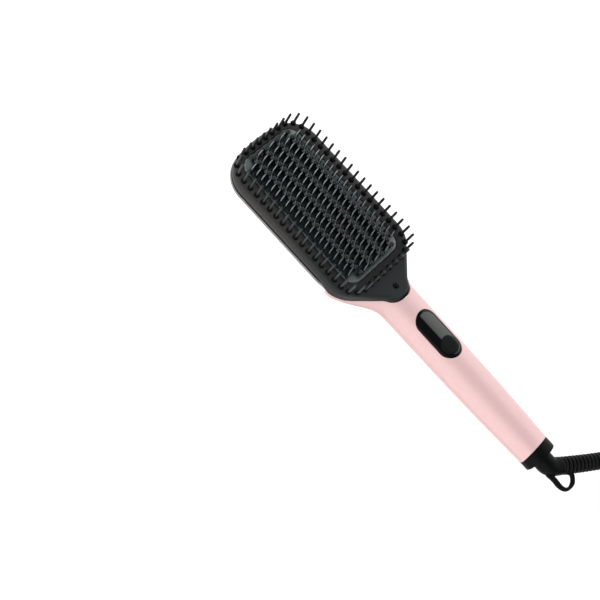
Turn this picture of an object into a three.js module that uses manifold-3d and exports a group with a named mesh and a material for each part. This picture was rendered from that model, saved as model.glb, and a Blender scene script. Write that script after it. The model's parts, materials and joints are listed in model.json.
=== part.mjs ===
// A hair straightening comb: a flat heated brush head with a ring of guard pins, on a tapering
// handle with a display, one button, and a cord that turns freely in the end cap.
// Millimetres. X runs from the tip of the head to the cord, Y across, Z up from the table.
// Lengths along X are written from the tip of the head, and the whole comb is centred at the end.
import * as THREE from "three";
import { mergeVertices } from "three/addons/utils/BufferGeometryUtils.js";
import Module from "manifold-3d";

const wasm = await Module();
wasm.setup();
const { Manifold, Mesh } = wasm;

// Clearances
const GAP = 0.3;
const SCREW_PLAY = 0.25;

// How far a joined piece reaches into its neighbour, and how far a cut goes past a face
const SINK = 0.5;
const PAST = 1;
const FAR = 500;

// Head outline
const HEAD_HALF_WIDTH = 36.7;
const TIP_BOW_RADIUS = 110;
const TIP_CORNER_RADIUS = 22;
const SHOULDER_START = 107;
const SHOULDER_RADIUS = 20;
const FLANK_ANGLE = THREE.MathUtils.degToRad(46);
const LOBE_SLOPE = THREE.MathUtils.degToRad(26);
const LOBE_END_HALF_WIDTH = 2.4;
const LOBE_CORNER_RADIUS = 9.5;
const LOBE_FILLET_RADIUS = 12;

// Head heights
const FACE_HEIGHT = 26.3;
const COVER_SKIRT = 6.4;
const COVER_WALL = 2.5;
const COVER_EDGE_RADIUS = 1.6;
const TRIM_HEIGHT = 3.5;
const TRIM_WIDTH = 3;

// Guard pins round the edge of the head
const PIN_RING_START = 4;
const PIN_RING_PAST_SHOULDER = 18;
const PIN_RING_INSET = 5.4;
const PIN_RING_CORNER = 12;
const PIN_PITCH = 6.3;
const PIN_HEIGHT = 13.9;
const PIN_RADIUS = 0.95;

// Heating plate
const PLATE_FROM_TIP_PINS = 3.3;
const PLATE_FROM_NECK_PINS = 6.2;
const PLATE_FROM_SIDE_PINS = 5.8;
const PLATE_CORNER = 9;
const PLATE_RISE = 1;
const PLATE_CHAMFER = 1;
const FLANGE_WIDTH = 2;
const FLANGE_THICKNESS = 2;

// Blades and ball pegs on the plate
const ROW_COUNT = 23;
const ROW_END_INSET = 4.05;
const BLADE_COLUMNS = 5;
const BLADE_SIDE_INSET = 3.7;
const BLADE_TO_BALL = 0.15;
const BLADE_BASE = 2.8;
const BLADE_TOP = 1.3;
const BLADE_TOP_SHORTER = 1.1;
const BLADE_HEIGHT = 5.6;
const PEG_HEIGHT = 6.6;
const PEG_RADIUS = 1;
const BALL_RADIUS = 1.7;

// Heater stack under the plate
const HEATER_END_INSET = 14.75;
const HEATER_THICKNESS = 2;
const HEATER_BETWEEN = 6;
const HEATER_IN_CLAMP = 5;
const CLAMP_END_INSET = 8.75;
const CLAMP_TO_BOSS = 0.8;
const CLAMP_THICKNESS = 1.2;
const CLAMP_CORNER = 3;
const CLAMP_SCREW_INSET = 4;
const SHIELD_DEPTH = 3.4;
const SHIELD_WALL = 1.4;
const SHIELD_END_INSET = 6.7;
const SHIELD_SIDE_INSET = 1.5;
const SHIELD_CORNER = 9;
const SHIELD_FOOT = 4;
const BOSS_RADIUS = 3.4;

// Screws
const SCREW_RADIUS = 1.3;
const SCREW_HEAD_RADIUS = 2.6;
const SCREW_HEAD_HEIGHT = 1.6;

// Shells
const SHELL_WALL = 2.4;
const BOWL_DEPTH_INSET = 23;
const BOWL_CURVE = 1.6;
const BOWL_EDGE_INSET = 0.6;
const BOWL_NECK_REACH = 20;
const BOWL_BLEND = 23;
const BOWL_NECK_NARROWING = 12.7;
const HANDLE_HALF_WIDTH = 14.9;
const HANDLE_FLATNESS = 0.9;
const HANDLE_TAPER = 2.25;
const NECK_FROM_SHOULDER = 2;
const TOP_SHELL_FROM_SHOULDER = 1;
const HANDLE_LENGTH = 134.6;

// Control panel and button
const PANEL_FROM_LOBE = 14;
const PANEL_LENGTH = 38.8;
const PANEL_HALF_WIDTH = 8.8;
const PANEL_THICKNESS = 1.2;
const PANEL_LEDGE = 1.5;
const BUTTON_RADIUS = 6.5;
const BUTTON_DISH_RADIUS = 60;
const BUTTON_DISH_DEPTH = 0.35;
const BUTTON_TRAVEL = 0.8;
const BUTTON_FLANGE = 1.6;
const BUTTON_SKIRT = 3.4;
const PLUNGER_RADIUS = 2;
const PLUNGER_LENGTH = 4.5;

// Parts on the board inside the handle
const BOARD_BEFORE_PANEL = 3.7;
const BOARD_HALF_WIDTH = 9.5;
const BOARD_THICKNESS = 1.6;
const BOARD_DROP = 3.5;
const BOARD_POST_INSET = 3.5;
const BOARD_SCREW_REACH = 4.5;
const DISPLAY_INSET = 4.6;
const DISPLAY_LENGTH = 16;
const DISPLAY_WIDTH = 11;
const DISPLAY_HEIGHT = 5;
const DISPLAY_COVER_GAP = 0.7;
const LEG_SIZE = 1;
const CAPACITOR_INSET = 6;
const CAPACITOR_RADIUS = 2.6;
const CAPACITOR_LENGTH = 13;
const SWITCH_WIDTH = 6;
const SWITCH_BODY = 3.4;
const SWITCH_STEM_RADIUS = 1.6;
const TRIAC_FROM_PANEL = 4.5;
const TRIAC_THICKNESS = 4.4;
const TRIAC_WIDTH = 10;
const TRIAC_HEIGHT = 8.6;
const TRIAC_LEGS = 1.2;
const TRIAC_LEG_SIZE = 0.8;
const TRIAC_LEG_PITCH = 2.5;
const COOLER_THICKNESS = 1.4;
const COOLER_WIDTH = 14;
const COOLER_HEIGHT = 9.6;
const COOLER_DEPTH = 4.5;
const COOLER_FINS = 4;
const TERMINAL_FROM_COOLER = 4.3;
const TERMINAL_LENGTH = 7;
const TERMINAL_WIDTH = 14;
const TERMINAL_HEIGHT = 6.5;
const TERMINAL_SPACING = 9.2;
const LEAD_RADIUS = 1;
const HEATER_LEAD_INSET = 1;
const BOARD_LEAD_OFFSET = 6.5;
const MAINS_LEAD_OFFSET = 7;

// Fuse, sensor and ion parts
const FUSE_RADIUS = 1.2;
const FUSE_LENGTH = 11;
const SENSOR_SIZE = 2.4;
const SENSOR_FROM_HEATER_END = 17;
const ION_BEFORE_LOBE_END = 9.5;
const ION_HOLE_RADIUS = 2.4;
const ION_BUSH_WALL = 0.8;
const ION_NEEDLE_RADIUS = 0.5;
const ION_RECESS = 0.8;
const ION_FLANGE = 1.2;
const ION_NEEDLE_DEPTH = 1.2;
const ION_NEEDLE_TAPER = 1;
const ION_NEEDLE_BASE_RADIUS = 1.5;
const ION_BOX_LENGTH = 15;
const ION_BOX_WIDTH = 16;
const ION_BOX_HEIGHT = 8;

// Case screws
const CASE_SCREW_SPACING = 60;
const CASE_SCREW_FROM_LOBE = 4.5;
const CASE_SCREW_FROM_BOARD = 6;
const CASE_SCREW_SEAT = 2.8;
const CASE_SCREW_GRIP = 6;

// End cap and swivel
const CAP_LENGTH = 6.9;
const CAP_SPIGOT = 4.6;
const CAP_EDGE_RADIUS = 1;
const STEM_RADIUS = 6.9;
const STEM_FLANGE_RADIUS = 8.6;
const STEM_FLANGE_THICKNESS = 2.2;
const CORE_RADIUS = 3.5;
const RING_RADIUS = 5.4;
const RING_WIDTH = 2.6;
const RING_SPACING = 6;
const HOLDER_RADIUS = 8.8;
const HOLDER_BORE = 6.4;
const HOLDER_LENGTH = 14;
const BRUSH_WIDTH = 2;
const RIB_THICKNESS = 1.6;

// Elbow, hanging loop and strain relief
const BEND_REACH = 8.9;
const ARM_ANGLE = THREE.MathUtils.degToRad(53);
const ARM_LENGTH = 9.6;
const LOOP_CORNERS = [
  [7.5, -0.8],
  [15.6, -1.6],
  [16.9, 1.6],
  [13.9, 5.4],
];
const LOOP_ROOT = [1, -2.4];
const LOOP_HOLE_RADIUS = 1.2;
const LOOP_WIRE = 2.6;
const LOOP_THICKNESS = 3.6;
const SLEEVE_RADIUS = 5.85;
const SLEEVE_END_RADIUS = 5.4;
const SLEEVE_GROOVE = 1.1;
const SLEEVE_LENGTH = 45;
const SLEEVE_RIBS = 15;
const SLEEVE_BEND = THREE.MathUtils.degToRad(4);

// Cord
const CORD_RADIUS = 3;
const COIL_FROM_HANDLE = 104.4;
const COIL_ACROSS = 38;
const COIL_RADIUS = 46;
const COIL_PITCH = 6.7;
const COIL_LAYER_TURNS = 4;
const COIL_LIFT = 1;
const COIL_START_ANGLE = THREE.MathUtils.degToRad(115);
const COIL_END_ANGLE = THREE.MathUtils.degToRad(62);
const CORD_START_REACH = 18;
const TAIL_COIL_REACH = 10;
const TAIL_PLUG_REACH = 27;
const TIE_WIDTH = 9;
const TIE_THICKNESS = 0.5;
const TIE_ANGLE = THREE.MathUtils.degToRad(-90);

// Plug
const PLUG_FROM_COIL = 65.6;
const PLUG_ACROSS = 42;
const PLUG_LENGTH = 34;
const PLUG_HALF_WIDTH = 12.5;
const PLUG_NECK_HALF_WIDTH = 5.5;
const PLUG_THICKNESS = 13.6;
const PLUG_EDGE = 2;
const PLUG_PIN_RADIUS = 2;
const PLUG_PIN_LENGTH = 18;
const PLUG_PIN_SPACING = 14;

// Heights and places that follow from the sizes above
const flankSlope = { x: Math.sin(FLANK_ANGLE), y: Math.cos(FLANK_ANGLE) };
const SHOULDER_END = [
  SHOULDER_START + SHOULDER_RADIUS * flankSlope.x,
  HEAD_HALF_WIDTH - SHOULDER_RADIUS * (1 - flankSlope.y),
];
const flankReach = SHOULDER_START * flankSlope.x + (HEAD_HALF_WIDTH - SHOULDER_RADIUS) * flankSlope.y
  + SHOULDER_RADIUS;
const lobeTurn = (LOBE_CORNER_RADIUS + LOBE_FILLET_RADIUS) * Math.cos(FLANK_ANGLE - LOBE_SLOPE);
const LOBE_CORNER_PLACE = (flankReach + LOBE_FILLET_RADIUS - lobeTurn
  - LOBE_END_HALF_WIDTH * flankSlope.y) / flankSlope.x;
const LOBE_END = LOBE_CORNER_PLACE + LOBE_CORNER_RADIUS;
const PIN_RING_END = SHOULDER_START + PIN_RING_PAST_SHOULDER;
const PIN_RING_HALF_WIDTH = HEAD_HALF_WIDTH - PIN_RING_INSET;
const PLATE_START = PIN_RING_START + PLATE_FROM_TIP_PINS;
const PLATE_END = PIN_RING_END - PLATE_FROM_NECK_PINS;
const PLATE_LENGTH = PLATE_END - PLATE_START;
const PLATE_CENTRE = (PLATE_START + PLATE_END) / 2;
const PLATE_HALF_WIDTH = PIN_RING_HALF_WIDTH - PLATE_FROM_SIDE_PINS;
const ROW_PITCH = (PLATE_LENGTH - 2 * ROW_END_INSET) / (ROW_COUNT - 1);
const BLADE_COLUMN_PITCH = (2 * (PLATE_HALF_WIDTH - BLADE_SIDE_INSET)) / (BLADE_COLUMNS - 1);
const BLADE_LENGTH = BLADE_COLUMN_PITCH - 2 * (BALL_RADIUS + BLADE_TO_BALL);
const BLADE_TOP_LENGTH = BLADE_LENGTH - BLADE_TOP_SHORTER;
const COVER_BOTTOM = FACE_HEIGHT - COVER_SKIRT;
const COVER_UNDER = FACE_HEIGHT - COVER_WALL;
const TRIM_TOP = COVER_BOTTOM - GAP;
const TRIM_BOTTOM = TRIM_TOP - TRIM_HEIGHT;
const SHELL_RIM = TRIM_BOTTOM - GAP;
const PLATE_TOP = FACE_HEIGHT + PLATE_RISE;
const FLANGE_TOP = COVER_UNDER - GAP;
const FLANGE_BOTTOM = FLANGE_TOP - FLANGE_THICKNESS;
const HEATER_TOP = FLANGE_BOTTOM - GAP;
const HEATER_BOTTOM = HEATER_TOP - HEATER_THICKNESS;
const CLAMP_TOP = HEATER_BOTTOM - GAP;
const CLAMP_BOTTOM = CLAMP_TOP - CLAMP_THICKNESS;
const SHIELD_FLOOR = CLAMP_BOTTOM - SHIELD_DEPTH;
const SHIELD_UNDER = SHIELD_FLOOR - SHIELD_WALL;
const SHIELD_FOOT_BOTTOM = SHIELD_UNDER - SHIELD_FOOT;
const SHIELD_HALF_WIDTH = PLATE_HALF_WIDTH - SHIELD_SIDE_INSET;
const SHIELD_SCREW_INSET = SHIELD_WALL + BOSS_RADIUS;
const HEATER_LENGTH = PLATE_LENGTH - 2 * HEATER_END_INSET;
const CLAMP_LENGTH = PLATE_LENGTH - 2 * CLAMP_END_INSET;
const CLAMP_HALF_WIDTH = SHIELD_HALF_WIDTH - SHIELD_SCREW_INSET - BOSS_RADIUS - CLAMP_TO_BOSS;
const HEATER_SPACING = 2 * (CLAMP_HALF_WIDTH - HEATER_IN_CLAMP);
const HEATER_WIDTH = HEATER_SPACING - HEATER_BETWEEN;
const HEATER_LEAD_OFFSET = HEATER_SPACING / 2 - HEATER_LEAD_INSET;
const SENSOR_REACH = HEATER_LENGTH / 2 - SENSOR_FROM_HEATER_END;
const AXIS_HEIGHT = HANDLE_HALF_WIDTH * HANDLE_FLATNESS + 0.1;
const NECK_START = SHOULDER_START + NECK_FROM_SHOULDER;
const NECK_END = LOBE_END + GAP;
const TOP_SHELL_START = SHOULDER_START + TOP_SHELL_FROM_SHOULDER;
const BOWL_BLEND_END = SHOULDER_START + BOWL_BLEND;
const HANDLE_END = NECK_END + HANDLE_LENGTH;
const ION_PLACE = LOBE_END - ION_BEFORE_LOBE_END;
const ION_BOX_START = ION_PLACE + ION_NEEDLE_BASE_RADIUS * 2 - ION_BOX_LENGTH;
const ION_BUSH_RADIUS = ION_HOLE_RADIUS - GAP / 2;
const PANEL_START = LOBE_END + PANEL_FROM_LOBE;
const PANEL_END = PANEL_START + PANEL_LENGTH;
const TRIAC_PLACE = PANEL_END + TRIAC_FROM_PANEL;
const COOLER_PLACE = TRIAC_PLACE + TRIAC_THICKNESS / 2 + GAP;
const TERMINAL_END = COOLER_PLACE + COOLER_DEPTH + TERMINAL_FROM_COOLER + TERMINAL_LENGTH;
const TERMINAL_MOUTH = TERMINAL_END - TERMINAL_LENGTH / 3;
const BOARD_START = PANEL_START - BOARD_BEFORE_PANEL;
const BOARD_END = TERMINAL_END + 2 * GAP + SCREW_HEAD_RADIUS + BOARD_POST_INSET;
const CAP_FACE = HANDLE_END + CAP_LENGTH;
const BOARD_TOP = AXIS_HEIGHT - BOARD_DROP + BOARD_THICKNESS / 2;
const BOARD_BOTTOM = BOARD_TOP - BOARD_THICKNESS;
const ON_BOARD = BOARD_TOP + GAP;
const BUTTON_PLACE = PANEL_END - PANEL_HALF_WIDTH - 0.2;
const PANEL_TOP = AXIS_HEIGHT + handleHalfWidth(BUTTON_PLACE) * HANDLE_FLATNESS;
const BUTTON_FLANGE_TOP = PANEL_TOP - BUTTON_SKIRT;
const PLUNGER_END = BUTTON_FLANGE_TOP - BUTTON_FLANGE - PLUNGER_LENGTH;
const BEND_PLACE = CAP_FACE + BEND_REACH;
const SPIGOT_START = HANDLE_END - CAP_SPIGOT;
const FLANGE_END = SPIGOT_START - GAP;
const HOLDER_END = FLANGE_END - STEM_FLANGE_THICKNESS - GAP;
const HOLDER_START = HOLDER_END - HOLDER_LENGTH;
const RING_PLACES = [-0.5, 0.5].map((k) => (HOLDER_START + HOLDER_END) / 2 + k * RING_SPACING);
const COIL_CENTRE = [HANDLE_END + COIL_FROM_HANDLE, COIL_ACROSS];
const PLUG_PLACE = [COIL_CENTRE[0] + PLUG_FROM_COIL, PLUG_ACROSS];
const OWN_LENGTH = BEND_PLACE + LOOP_CORNERS[2][0] + LOOP_HOLE_RADIUS + LOOP_WIRE;

// Materials
const paint = (color, roughness, metalness = 0) =>
  new THREE.MeshStandardMaterial({ color, roughness, metalness });
const BLACK = paint(0x1d2022, 0.5);
const GLOSS_BLACK = paint(0x0c0d0f, 0.12);
const PINK = paint(0xe9b7b3, 0.35, 0.3);
const TRIM_GREY = paint(0x8a8c90, 0.35, 0.6);
const ALUMINIUM = paint(0x7f8c8e, 0.3, 0.7);
const CERAMIC = paint(0xe9e6dc, 0.7);
const STEEL = paint(0xb5b8bc, 0.35, 0.9);
const NATURAL_PLASTIC = paint(0xd8d2bd, 0.6);
const BOARD_GREEN = paint(0x1f6a3c, 0.55);
const BRASS = paint(0xc9a14a, 0.35, 0.9);
const RUBBER = paint(0x17181a, 0.75);
const SILICONE_RED = paint(0xa8322c, 0.6);

// Solids: closed geometries go in, and joined or cut solids come out as geometries again.
function solid(geometry) {
  const bare = geometry.clone();
  bare.deleteAttribute("normal");
  bare.deleteAttribute("uv");
  const merged = mergeVertices(bare, 1e-4);
  const whole = [];
  for (let i = 0; i < merged.index.count; i += 3) {
    const corners = [0, 1, 2].map((k) => merged.index.getX(i + k));
    if (new Set(corners).size === 3) whole.push(...corners);
  }
  const vertProperties = new Float32Array(merged.attributes.position.array);
  return new Manifold(new Mesh({ numProp: 3, vertProperties, triVerts: new Uint32Array(whole) }));
}

function geometryOf(body) {
  const mesh = body.getMesh();
  const geometry = new THREE.BufferGeometry();
  geometry.setAttribute("position", new THREE.BufferAttribute(mesh.vertProperties, 3));
  geometry.setIndex(new THREE.BufferAttribute(mesh.triVerts, 1));
  return geometry;
}

const join = (...bodies) => bodies.flat().reduce((all, body) => all.add(body));
const cut = (body, ...tools) => tools.flat().reduce((left, tool) => left.subtract(tool), body);

function box(x0, x1, y0, y1, z0, z1) {
  const geometry = new THREE.BoxGeometry(x1 - x0, y1 - y0, z1 - z0);
  geometry.translate((x0 + x1) / 2, (y0 + y1) / 2, (z0 + z1) / 2);
  return solid(geometry);
}

function postZ(x, y, z0, z1, radius, sides = 12, topRadius = radius) {
  const geometry = new THREE.CylinderGeometry(topRadius, radius, z1 - z0, sides);
  geometry.rotateX(Math.PI / 2);
  geometry.translate(x, y, (z0 + z1) / 2);
  return solid(geometry);
}

function rodX(x0, x1, y, z, radius, sides = 20) {
  const geometry = new THREE.CylinderGeometry(radius, radius, x1 - x0, sides);
  geometry.rotateZ(-Math.PI / 2);
  geometry.translate((x0 + x1) / 2, y, z);
  return solid(geometry);
}

// A closed body through rings of equal length, with flat ends.
function loft(rings, flat) {
  const count = rings[0].length;
  const points = rings.flat();
  const faces = [];
  for (let r = 0; r + 1 < rings.length; r++) {
    for (let i = 0; i < count; i++) {
      const a = r * count + i;
      const b = r * count + ((i + 1) % count);
      faces.push(a, b, b + count, a, b + count, a + count);
    }
  }
  const last = (rings.length - 1) * count;
  const end = rings[0].map(flat);
  const clockwise = THREE.ShapeUtils.isClockWise(end);
  for (const [a, b, c] of THREE.ShapeUtils.triangulateShape(end, [])) {
    const corners = clockwise ? [c, b, a] : [a, b, c];
    faces.push(...corners.toReversed(), ...corners.map((k) => last + k));
  }
  const geometry = new THREE.BufferGeometry().setFromPoints(points);
  geometry.setIndex(faces);
  if (signedVolume(points, faces) < 0) geometry.setIndex(faces.reverse());
  return geometry;
}

function signedVolume(points, faces) {
  let volume = 0;
  const cross = new THREE.Vector3();
  for (let i = 0; i < faces.length; i += 3) {
    const [a, b, c] = [0, 1, 2].map((k) => points[faces[i + k]]);
    volume += cross.crossVectors(a, b).dot(c);
  }
  return volume;
}

const flatZ = (p) => new THREE.Vector2(p.x, p.y);
const flatX = (p) => new THREE.Vector2(p.y, p.z);
const ringAt = (outline, z) => outline.map((p) => new THREE.Vector3(p.x, p.y, z));

function stack(levels) {
  return solid(loft(levels.map(([outline, z]) => ringAt(outline, z)), flatZ));
}

const prism = (outline, z0, z1) => stack([[outline, z0], [outline, z1]]);

// Outlines
function arc(cx, cy, radius, from, to, steps) {
  const points = [];
  for (let i = 0; i <= steps; i++) {
    const angle = from + ((to - from) * i) / steps;
    points.push(new THREE.Vector2(cx + radius * Math.cos(angle), cy + radius * Math.sin(angle)));
  }
  return points;
}

function mirrored(half) {
  const other = half.map((p) => new THREE.Vector2(p.x, -p.y)).reverse();
  return [...half, ...other];
}

function roundedRectangle(x0, x1, halfWidth, radius, steps = 4) {
  const quarter = Math.PI / 2;
  return mirrored([
    ...arc(x0 + radius, halfWidth - radius, radius, 2 * quarter, quarter, steps),
    ...arc(x1 - radius, halfWidth - radius, radius, quarter, 0, steps),
  ]);
}

// The tip of the head: a slight bow that runs into the two corners.
function tipCurve(inset) {
  const cornerY = HEAD_HALF_WIDTH - TIP_CORNER_RADIUS;
  const reach = TIP_BOW_RADIUS - TIP_CORNER_RADIUS;
  const turn = Math.asin(cornerY / reach);
  const cornerX = TIP_BOW_RADIUS - reach * Math.cos(turn);
  return [
    ...arc(TIP_BOW_RADIUS, 0, TIP_BOW_RADIUS - inset, Math.PI * 0.9995, Math.PI - turn, 2),
    ...arc(cornerX, cornerY, TIP_CORNER_RADIUS - inset, Math.PI - turn, Math.PI / 2, 6).slice(1),
  ];
}

function shoulderCurve(inset) {
  const centreY = HEAD_HALF_WIDTH - SHOULDER_RADIUS;
  return arc(SHOULDER_START, centreY, SHOULDER_RADIUS - inset, Math.PI / 2,
    Math.PI / 2 - FLANK_ANGLE, 3);
}

// The outline of the cover: tip, sides, slanting flanks and the lobe that lies on the handle.
function headOutline(inset = 0) {
  const apart = LOBE_CORNER_RADIUS + LOBE_FILLET_RADIUS;
  const filletX = LOBE_CORNER_PLACE + apart * Math.sin(LOBE_SLOPE);
  const filletY = LOBE_END_HALF_WIDTH + apart * Math.cos(LOBE_SLOPE);
  const up = Math.PI / 2;
  return mirrored([
    ...tipCurve(inset),
    ...shoulderCurve(inset),
    ...arc(filletX, filletY, LOBE_FILLET_RADIUS + inset, -up - FLANK_ANGLE, -up - LOBE_SLOPE, 3),
    ...arc(LOBE_CORNER_PLACE, LOBE_END_HALF_WIDTH, LOBE_CORNER_RADIUS - inset,
      up - LOBE_SLOPE, 0, 5).slice(1),
  ]);
}

// The outline of the bowl in the back shell, drawn in towards its middle with depth.
function bowlOutline(inset) {
  const end = SHOULDER_START + BOWL_NECK_REACH;
  const middle = end / 2;
  const endCorner = new THREE.Vector2(end, HEAD_HALF_WIDTH - BOWL_NECK_NARROWING);
  const side = [...tipCurve(0), ...shoulderCurve(0), endCorner];
  return mirrored(side).map((p) => new THREE.Vector2(
    middle + (p.x - middle) * (1 - inset / middle),
    p.y * (1 - inset / HEAD_HALF_WIDTH),
  ));
}

// Back shell and handle
function handleHalfWidth(x) {
  const along = THREE.MathUtils.clamp((x - NECK_END) / (HANDLE_END - NECK_END), 0, 1);
  const handle = HANDLE_HALF_WIDTH - HANDLE_TAPER * along ** 3;
  const head = 1 - THREE.MathUtils.smoothstep(x, NECK_START, NECK_END);
  return handle + (HEAD_HALF_WIDTH - 0.2 - HANDLE_HALF_WIDTH) * head;
}

// Height of the bowl's wall at a distance in from its rim
function bowlHeight(distance) {
  const along = THREE.MathUtils.clamp(distance / BOWL_DEPTH_INSET, 0, 1);
  return SHELL_RIM * (1 - along) ** BOWL_CURVE;
}

// An elliptical section, whose lower half takes the bowl's height where it runs into the head.
function sectionRing(x, inset, sides = 20) {
  const halfWidth = handleHalfWidth(x) - inset;
  const halfHeight = Math.min(handleHalfWidth(x), HANDLE_HALF_WIDTH) * HANDLE_FLATNESS - inset;
  const handleShare = THREE.MathUtils.smoothstep(x, SHOULDER_START, BOWL_BLEND_END);
  return Array.from({ length: sides }, (_, i) => {
    const turn = (2 * Math.PI * i) / sides;
    const y = halfWidth * Math.cos(turn);
    const round = AXIS_HEIGHT + halfHeight * Math.sin(turn);
    const bowled = Math.max(round, Math.min(AXIS_HEIGHT, inset + bowlHeight(halfWidth - Math.abs(y))));
    return new THREE.Vector3(x, y, THREE.MathUtils.lerp(bowled, round, handleShare));
  });
}

function handleLoft(from, to, inset, sides = 20) {
  const neckSteps = 5;
  const handleSteps = 4;
  const stations = [from];
  for (let i = 0; i <= neckSteps; i++) {
    stations.push(NECK_START + ((NECK_END - NECK_START) * i) / neckSteps);
  }
  for (let i = 1; i <= handleSteps; i++) {
    stations.push(NECK_END + ((HANDLE_END - NECK_END) * i) / handleSteps);
  }
  stations.push(to);
  const kept = [...new Set(stations)].filter((x) => x >= from && x <= to).sort((a, b) => a - b);
  return solid(loft(kept.map((x) => sectionRing(x, inset, sides)), flatX));
}

function bowl(extraInset, lift, steps) {
  const levels = [];
  for (let i = 0; i <= steps; i++) {
    const along = i / steps;
    const inset = BOWL_EDGE_INSET + extraInset + BOWL_DEPTH_INSET * along;
    levels.push([bowlOutline(inset), lift + bowlHeight(BOWL_DEPTH_INSET * along)]);
  }
  return stack(levels);
}

// A screw pointing up, its head's underside at z.
function screw(x, y, z, length) {
  const head = postZ(x, y, z - SCREW_HEAD_HEIGHT, z, SCREW_HEAD_RADIUS, 8);
  return join(head, postZ(x, y, z - SINK, z + length, SCREW_RADIUS, 6));
}

const screwHole = (x, y, z0, z1) => postZ(x, y, z0, z1, SCREW_RADIUS + SCREW_PLAY, 8);

const shieldScrews = [-1, 1].flatMap((end) => [-1, 1].map((side) => [
  PLATE_CENTRE + end * (PLATE_LENGTH / 2 - SHIELD_END_INSET - SHIELD_SCREW_INSET),
  side * (SHIELD_HALF_WIDTH - SHIELD_SCREW_INSET),
]));
const clampScrews = [-1, 0, 1].map((k) => PLATE_CENTRE + k * (CLAMP_LENGTH / 2 - CLAMP_SCREW_INSET));
const boardPosts = [BOARD_START + BOARD_POST_INSET, BOARD_END - BOARD_POST_INSET];
const headScrews = [-0.5, 0.5].map((k) => PLATE_CENTRE + k * CASE_SCREW_SPACING);
const handleScrews = [LOBE_END + CASE_SCREW_FROM_LOBE, BOARD_END + CASE_SCREW_FROM_BOARD];

// One rib of each half of the handle that holds the round contact holder.
function holderRibs(lower) {
  const halfSpace = lower
    ? [AXIS_HEIGHT - HANDLE_HALF_WIDTH, AXIS_HEIGHT - GAP / 2]
    : [AXIS_HEIGHT + GAP / 2, AXIS_HEIGHT + HANDLE_HALF_WIDTH];
  const inside = handleLoft(NECK_END, HANDLE_END, SHELL_WALL / 2);
  const room = rodX(HOLDER_START, HOLDER_END, 0, AXIS_HEIGHT, HOLDER_RADIUS + GAP);
  return [HOLDER_START + RIB_THICKNESS, HOLDER_END - 2 * RIB_THICKNESS].map((x) => {
    const slab = box(x, x + RIB_THICKNESS, -HANDLE_HALF_WIDTH, HANDLE_HALF_WIDTH, ...halfSpace);
    return cut(slab.intersect(inside), room);
  });
}

// Where the control panel sits in the handle.
const pill = (inset) =>
  roundedRectangle(PANEL_START + inset, PANEL_END - inset, PANEL_HALF_WIDTH - inset,
    (PANEL_HALF_WIDTH - inset) * 0.999, 6);

// The walls of both shells in one: outside less hollow, less the room for the cover, open at the end.
function shellWalls() {
  const outside = join(bowl(0, 0, 4), handleLoft(SHOULDER_START, HANDLE_END, 0));
  const hollow = join(
    bowl(SHELL_WALL, SHELL_WALL, 2),
    handleLoft(SHOULDER_START, HANDLE_END, SHELL_WALL, 14),
  );
  const mouth = solid(loft([HANDLE_END - PAST, HANDLE_END + PAST].map((x) =>
    sectionRing(HANDLE_END, SHELL_WALL, 14).map((p) => p.clone().setX(x))), flatX));
  const coverRoom = prism(headOutline(-GAP), SHELL_RIM, FAR);
  return cut(outside, hollow, mouth, coverRoom);
}

const walls = shellWalls();
const topRegion = box(TOP_SHELL_START + GAP, FAR, -FAR, FAR, AXIS_HEIGHT + GAP / 2, FAR);
const lowRegion = join(
  box(-FAR, FAR, -FAR, FAR, -FAR, AXIS_HEIGHT - GAP / 2),
  box(-FAR, TOP_SHELL_START, -FAR, FAR, -FAR, FAR),
);

function backShell() {
  const shell = walls.intersect(lowRegion);
  const root = SHELL_WALL / 2;
  const boardColumns = boardPosts.map((x) => postZ(x, 0, root, BOARD_BOTTOM - GAP, BOSS_RADIUS, 10));
  const headColumns = headScrews.map((x) =>
    postZ(x, 0, root, SHIELD_FOOT_BOTTOM - GAP, BOSS_RADIUS, 10));
  const handleColumns = handleScrews.map((x) =>
    postZ(x, 0, root, AXIS_HEIGHT - GAP / 2, BOSS_RADIUS, 10));
  const ionShelf = box(ION_BOX_START, ION_BOX_START + ION_BOX_LENGTH, -ION_BOX_WIDTH / 3, ION_BOX_WIDTH / 3,
    root, AXIS_HEIGHT - ION_BOX_HEIGHT - GAP);
  const pilotHoles = boardPosts.map((x) =>
    screwHole(x, 0, BOARD_BOTTOM - BOARD_SCREW_REACH - PAST, BOARD_BOTTOM));
  const caseHoles = [...headScrews, ...handleScrews].flatMap((x) => [
    screwHole(x, 0, -PAST, AXIS_HEIGHT),
    postZ(x, 0, -PAST, CASE_SCREW_SEAT, SCREW_HEAD_RADIUS + GAP, 12),
  ]);
  const built = join(shell, boardColumns, headColumns, handleColumns, holderRibs(true), ionShelf);
  return cut(built, pilotHoles, caseHoles);
}

function handleTopShell() {
  const shell = walls.intersect(topRegion);
  const top = AXIS_HEIGHT + HANDLE_HALF_WIDTH * HANDLE_FLATNESS;
  const columns = handleScrews.map((x) =>
    postZ(x, 0, AXIS_HEIGHT + GAP / 2, top - SHELL_WALL / 2, BOSS_RADIUS, 10));
  const bores = handleScrews.map((x) =>
    screwHole(x, 0, AXIS_HEIGHT, AXIS_HEIGHT + CASE_SCREW_GRIP + PAST));
  const recess = cut(
    prism(pill(-GAP), AXIS_HEIGHT, FAR),
    handleLoft(NECK_END, HANDLE_END, PANEL_THICKNESS + GAP),
  );
  const window = prism(pill(PANEL_LEDGE), AXIS_HEIGHT, FAR);
  return cut(join(shell, columns, holderRibs(false)), bores, recess, window);
}

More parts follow.
